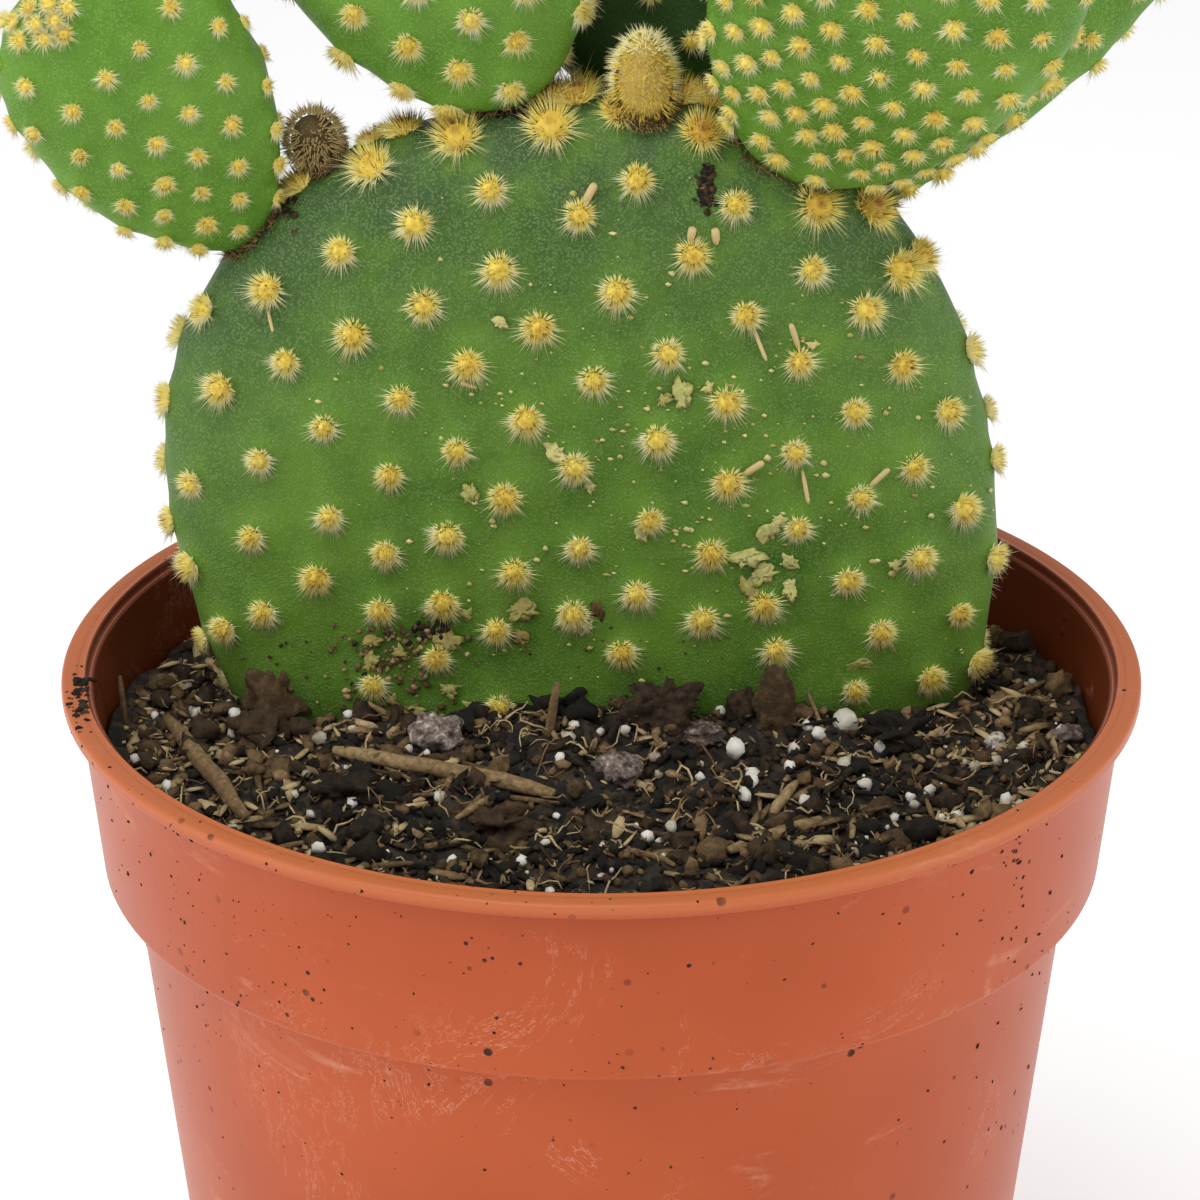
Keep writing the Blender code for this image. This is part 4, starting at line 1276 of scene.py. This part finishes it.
def fuzz(name, pad, count, lengths, sag, shades, thickness, finish, slot, is_bare=None):
    """Bristles all over a small bud; is_bare says which points of it stay without."""
    draw = np.random.default_rng(pad.seed + 300)
    turn = np.array(pad_placement(pad).to_3x3())
    place = pad_placement(pad)
    roots, tips, low, high = [], [], [], []
    while len(roots) < count:
        way = Vector(draw.normal(0, 1, 3)).normalized()
        if is_bare and is_bare(way):
            continue
        outward = turn @ np.array(skin_normal(pad, way))
        root = np.array(place @ skin_point(pad, way))
        length = draw.uniform(*lengths) * MM
        stray = draw.normal(0, 0.22, 3) - np.array((0, 0, sag))
        roots.append(root - 0.1 * MM * outward)
        tips.append(root + length * (outward + stray))
        shade = shades(way) + draw.normal(0, 0.06)
        low.append(shade - 0.16)
        high.append(shade)
    piece = bristle_piece(name, np.array(roots), np.array(tips), thickness * MM,
                          np.array(low), np.array(high))
    finish_piece(piece, slot, finish)


def joint_wool(pads, tree, finish):
    """Short brown wool and crust round the feet of the young pads, on the old pad's rim."""
    draw = np.random.default_rng(500)
    roots, tips, shades = [], [], []
    for pad in pads:
        ways, _ = round_model(6)
        place = pad_placement(pad)
        for point in skin_points(pad, ways):
            spot = place @ Vector(point)
            nearest, normal, _, distance = tree.find_nearest(spot)
            if distance > WOOL_REACH or (spot - nearest).dot(normal) < 0:
                continue
            for _ in range(WOOL_STRANDS):
                stray = Vector(draw.normal(0, 0.75, 3))
                outward = (normal + stray).normalized()
                roots.append(nearest)
                tips.append(nearest + draw.uniform(0.7, 2.0) * MM * outward)
                shades.append(draw.uniform(0.08, 0.5))
    shades = np.array(shades)
    piece = bristle_piece("joint_wool", np.array(roots), np.array(tips), 0.09 * MM,
                          shades - 0.05, shades)
    finish_piece(piece, "dry_wool", finish)


# Marks on the old pad's skin

def skin_spot(tree, pixel):
    """Where the photo shows a mark on the old pad, and the turn that lays it on the skin."""
    return tuft_frame(MAIN, way_at(MAIN, seen_on(tree, pixel)))


def make_flakes(tree, flaky):
    """Thin yellowish membranes by the tufts, and fine specks strewn over the front."""
    draw = np.random.default_rng(71)
    turns, spots, shades = [], [], []
    for pixel, radius, shade in SKIN_FLAKES:
        spot, turn = skin_spot(tree, pixel)
        spin = np.array(Matrix.Rotation(draw.uniform(0, 2 * pi), 3, "Z"))
        tilt = np.array(Matrix.Rotation(draw.normal(0, 0.3), 3, "X"))
        scale = np.array((radius, 0.62 * radius, 0.05)) * MM
        turns.append(turn @ tilt @ spin * scale)
        spots.append(spot + turn[:, 2] * 0.15 * MM)
        shades.append(shade)
    for _ in range(SKIN_SPECKS):
        pixel = draw.normal(SPECK_MIDDLE, SPECK_SPREAD)
        point = tree.ray_cast(CAMERA_PLACE, sight(pixel))[0]
        if point is None or point.z < soil_top(point.x, point.y):
            continue
        spot, turn = skin_spot(tree, pixel)
        radius = skewed(draw, 1, 0.09, 0.38, 2.5)[0]
        turns.append(turn * (np.array((radius, radius * draw.uniform(0.5, 1), 0.08)) * MM))
        spots.append(spot)
        shades.append(draw.uniform(0.45, 1.0))
    turns, spots, shades = np.array(turns), np.array(spots), np.array(shades)
    count = len(SKIN_FLAKES)
    for name, own, subdivisions in (("skin_flakes", slice(count), 3),
                                    ("skin_specks", slice(count, None), 1)):
        models = [lump_model(seed, 1.3, subdivisions) for seed in range(41, 45)]
        piece = mixed_copies(name, models, turns[own], spots[own], shades[own], True)
        finish_piece(piece, "old_pad_skin", flaky)


def make_stubs(tree, flaky):
    """Dried leaf stubs that stick out from under some tufts."""
    paths = []
    for foot, tip, _ in LEAF_STUBS:
        start, _ = skin_spot(tree, foot)
        end, turn = skin_spot(tree, tip)
        end = end + turn[:, 2] * 0.9 * MM
        paths.append([start + part * (end - start) for part in (0, 0.3, 0.6, 0.9, 1)])
    thickness = np.array([radius for _, _, radius in LEAF_STUBS]) * MM
    piece = tubes("leaf_stubs", paths, thickness, np.full(len(paths), 0.90), 7)
    finish_piece(piece, "old_pad_skin", flaky)


def make_crust(tree, earth):
    """Dark scab at the top, and brown cork with dirt at the pad's foot."""
    draw = np.random.default_rng(72)
    turns, spots, shades = [], [], []
    for middle, spread, count, radius, shade in CRUSTS:
        for _ in range(count):
            spot, turn = skin_spot(tree, draw.normal(middle, spread))
            size = radius * draw.uniform(0.5, 1.3) * MM
            spin = np.array(Matrix.Rotation(draw.uniform(0, 2 * pi), 3, "Z"))
            turns.append(turn @ spin * (np.array((1, draw.uniform(0.5, 1), 0.4)) * size))
            spots.append(spot)
            shades.append(shade + draw.normal(0, 0.12))
    models = [lump_model(seed, 0.8, 1) for seed in range(51, 55)]
    piece = mixed_copies("skin_crust", models, np.array(turns), np.array(spots),
                         np.clip(shades, 0, 1))
    finish_piece(piece, "old_pad_skin", earth)


# Dirt on the pot

def make_pot_dirt(pot_tree, earth):
    """Fine soil specks on the collar and under its step, and clumps on the lip's left."""
    draw = np.random.default_rng(81)
    turns, spots, shades = [], [], []
    for middle, spread, count, low, high in POT_DIRT:
        for _ in range(count):
            pixel = draw.normal(middle, spread)
            point, normal, _, _ = pot_tree.ray_cast(CAMERA_PLACE, sight(pixel))
            if point is None:
                continue
            radius = skewed(draw, 1, low, high, 2.2)[0] * MM
            turn = np.array(normal.to_track_quat("Z", "Y").to_matrix())
            spin = np.array(Matrix.Rotation(draw.uniform(0, 2 * pi), 3, "Z"))
            shape = (1, draw.uniform(0.45, 1), 0.45)
            turns.append(turn @ spin * (np.array(shape) * radius))
            spots.append(point)
            shades.append(draw.uniform(0.15, 0.5))
    for _ in range(ALL_ROUND_SPECKS):
        angle = draw.uniform(0, 2 * pi)
        height = draw.uniform(20, 90) * MM
        outward = Vector((cos(angle), sin(angle), 0))
        point, normal, _, _ = pot_tree.find_nearest(outward * 60 * MM + Vector((0, 0, height)))
        turn = np.array(normal.to_track_quat("Z", "Y").to_matrix())
        radius = skewed(draw, 1, 0.07, 0.22, 2.0)[0] * MM
        turns.append(turn * (np.array((1, 0.8, 0.45)) * radius))
        spots.append(point)
        shades.append(draw.uniform(0.15, 0.5))
    models = [lump_model(seed, 0.7, 1) for seed in range(61, 65)]
    piece = mixed_copies("pot_dirt", models, np.array(turns), np.array(spots), np.array(shades))
    finish_piece(piece, "pot_plastic", earth)


# Studio

def make_camera():
    lens = bpy.data.cameras.new("camera")
    lens.lens = CAMERA_LENS
    lens.sensor_width = CAMERA_SENSOR
    lens.clip_start = 0.01
    camera = bpy.data.objects.new("camera", lens)
    camera.location = CAMERA_PLACE
    camera.rotation_euler = (pi / 2 - CAMERA_PITCH, 0, 0)
    bpy.context.scene.collection.objects.link(camera)
    bpy.context.scene.camera = camera


def make_floor():
    start_clean()
    bpy.ops.mesh.primitive_plane_add(size=6, location=(0, 0, -0.2 * MM))
    floor = bpy.context.object
    floor.name = "studio_floor"
    finish = Finish("studio_floor", 0.9)
    finish.colour(finish.ramp(finish.noise(0.5), (0, (0.86, 0.86, 0.86)), (1, (0.9, 0.9, 0.9))))
    finish.shader.inputs["Emission Color"].default_value = (1, 1, 1, 1)
    finish.shader.inputs["Emission Strength"].default_value = FLOOR_GLOW
    floor.data.materials.append(finish.material)


def add_softbox(name, place, aim, size, power):
    light = bpy.data.lights.new(name, "AREA")
    light.size = size
    light.energy = power
    softbox = bpy.data.objects.new(name, light)
    softbox.location = place
    direction = Vector(aim) - Vector(place)
    softbox.rotation_euler = direction.to_track_quat("-Z", "Y").to_euler()
    bpy.context.scene.collection.objects.link(softbox)


def make_studio():
    make_camera()
    make_floor()
    world = bpy.data.worlds.new("white_studio")
    world.use_nodes = True
    world.node_tree.nodes["Background"].inputs["Color"].default_value = (1, 1, 1, 1)
    world.node_tree.nodes["Background"].inputs["Strength"].default_value = 0.46
    bpy.context.scene.world = world
    bpy.context.scene.view_settings.view_transform = "Standard"
    add_softbox("top_softbox", (-0.15, -0.30, 0.75), (0, 0, 0.1), 0.5, 3.0)
    add_softbox("left_softbox", (-0.7, -0.25, 0.30), (0, 0, 0.1), 0.5, 2.0)
    add_softbox("right_softbox", (0.7, -0.20, 0.30), (0, 0, 0.1), 0.5, 2.0)


make_studio()
SPINE = bristle_model()
CUSHION = cushion_model()

peat = soil_finish("peat", (0.006, 0.0042, 0.0026), (0.070, 0.042, 0.019), 0.0012)
earth = shaded_finish("earth", 0.85, 0.0009, 0.26, 0.0002, *EARTH)
wood = shaded_finish("dry_wood", 0.85, 0.0006, 0.26, 0.0002, *EARTH)
white = shaded_finish("perlite", 0.9, 0.0008, 0.30, 0.0001, *PERLITE)
grit = shaded_finish("speckled_grain", 0.9, 0.0007, 0.95, 0.0001, *GRAINS)
gold = shaded_finish("golden_spines", 0.6, 0.0011, 0.07, 0.00003, *GOLDEN_SPINES)
wool = shaded_finish("dry_wool", 0.8, 0.0010, 0.10, 0.00003, *DRY_WOOL)
flaky = shaded_finish("dry_flakes", 0.8, 0.0007, 0.28, 0.00005, *FLAKES)
# The old pad's edge colour is partly waxy bloom and partly painted shade on its top and sides.
old_skin = pad_finish("old_pad_skin", (0.050, 0.126, 0.011), (0.112, 0.228, 0.020),
                      (0.200, 0.300, 0.100),
                      ((0, 8 * MM, 60 * MM), (80 * MM, 200 * MM, 90 * MM), (0.038, 0.082, 0.024)))
young_skin = pad_finish("young_pad_skin", (0.070, 0.180, 0.012), (0.120, 0.262, 0.024),
                        (0.215, 0.380, 0.085), None, 0.35)
# The rear pad's skin: a deeper green than the other young pads, partly its own colour and partly
# painted shade, with more painted shade on its front face.
shaded_skin = pad_finish("rear_pad_skin", (0.050, 0.135, 0.010), (0.088, 0.205, 0.020),
                         (0.160, 0.300, 0.065), None, 0.35, (0.20, 0.26, 0.18))
bud_skin = pad_finish("bud_skin", (0.400, 0.260, 0.040), (0.560, 0.400, 0.080),
                      (0.600, 0.600, 0.300))
dry_skin = pad_finish("dry_bud_skin", (0.060, 0.040, 0.014), (0.150, 0.100, 0.036),
                      (0.200, 0.150, 0.060))

pads = [MAIN] + OFFSHOOTS
bodies = {pad.name: smooth_body(pad) for pad in pads}
main_tree = bodies["main_pad"]
pot = make_pot()
bed = make_soil_bed(peat)
ground_tree = tree_of(bed)
make_crumbs(main_tree, earth)
make_perlite(main_tree, ground_tree, white)
make_fibres(main_tree, earth)
make_sticks(ground_tree, wood)
make_splinters(main_tree, wood)
make_stones(ground_tree, earth, grit)
make_pot_dirt(tree_of(pot), earth)

for pad in pads:
    others = [tree for name, tree in bodies.items() if name != pad.name]
    seen = []
    if pad is MAIN:
        seen = main_pad_tufts(main_tree)
    elif pad.name == "left_pad":
        seen = [Tuft(way_at(pad, seen_on(bodies[pad.name], place)), 1.1, 0.1)
                for place in TIP_TUFTS]
    tufts = tuft_sites(pad, others, seen)
    skins = {"main_pad": (old_skin, "old_pad_skin"), "rear_pad": (shaded_skin, "young_pad_skin")}
    make_skin(pad, tufts, *skins.get(pad.name, (young_skin, "young_pad_skin")))
    make_tufts(pad, tufts, gold)

make_flakes(main_tree, flaky)
make_stubs(main_tree, wool)
make_crust(main_tree, earth)
joint_wool(OFFSHOOTS + [YOUNG_BUD, DRY_BUD], main_tree, wool)
make_skin(YOUNG_BUD, [], bud_skin, "glochids")
fuzz("young_bud_bristles", YOUNG_BUD, 1800, (0.5, 1.15), 0.15,
     lambda way: 0.86 - 0.40 * (way.y < -0.4 and abs(way.z) < 0.7),
     0.07, gold, "glochids")
make_skin(DRY_BUD, [], dry_skin, "dry_wool")
fuzz("dry_bud_bristles", DRY_BUD, 1500, (0.4, 1.0), 0.1, lambda way: 0.85,
     0.08, wool, "dry_wool", lambda way: way.z - 0.7 * way.y > 1.10)
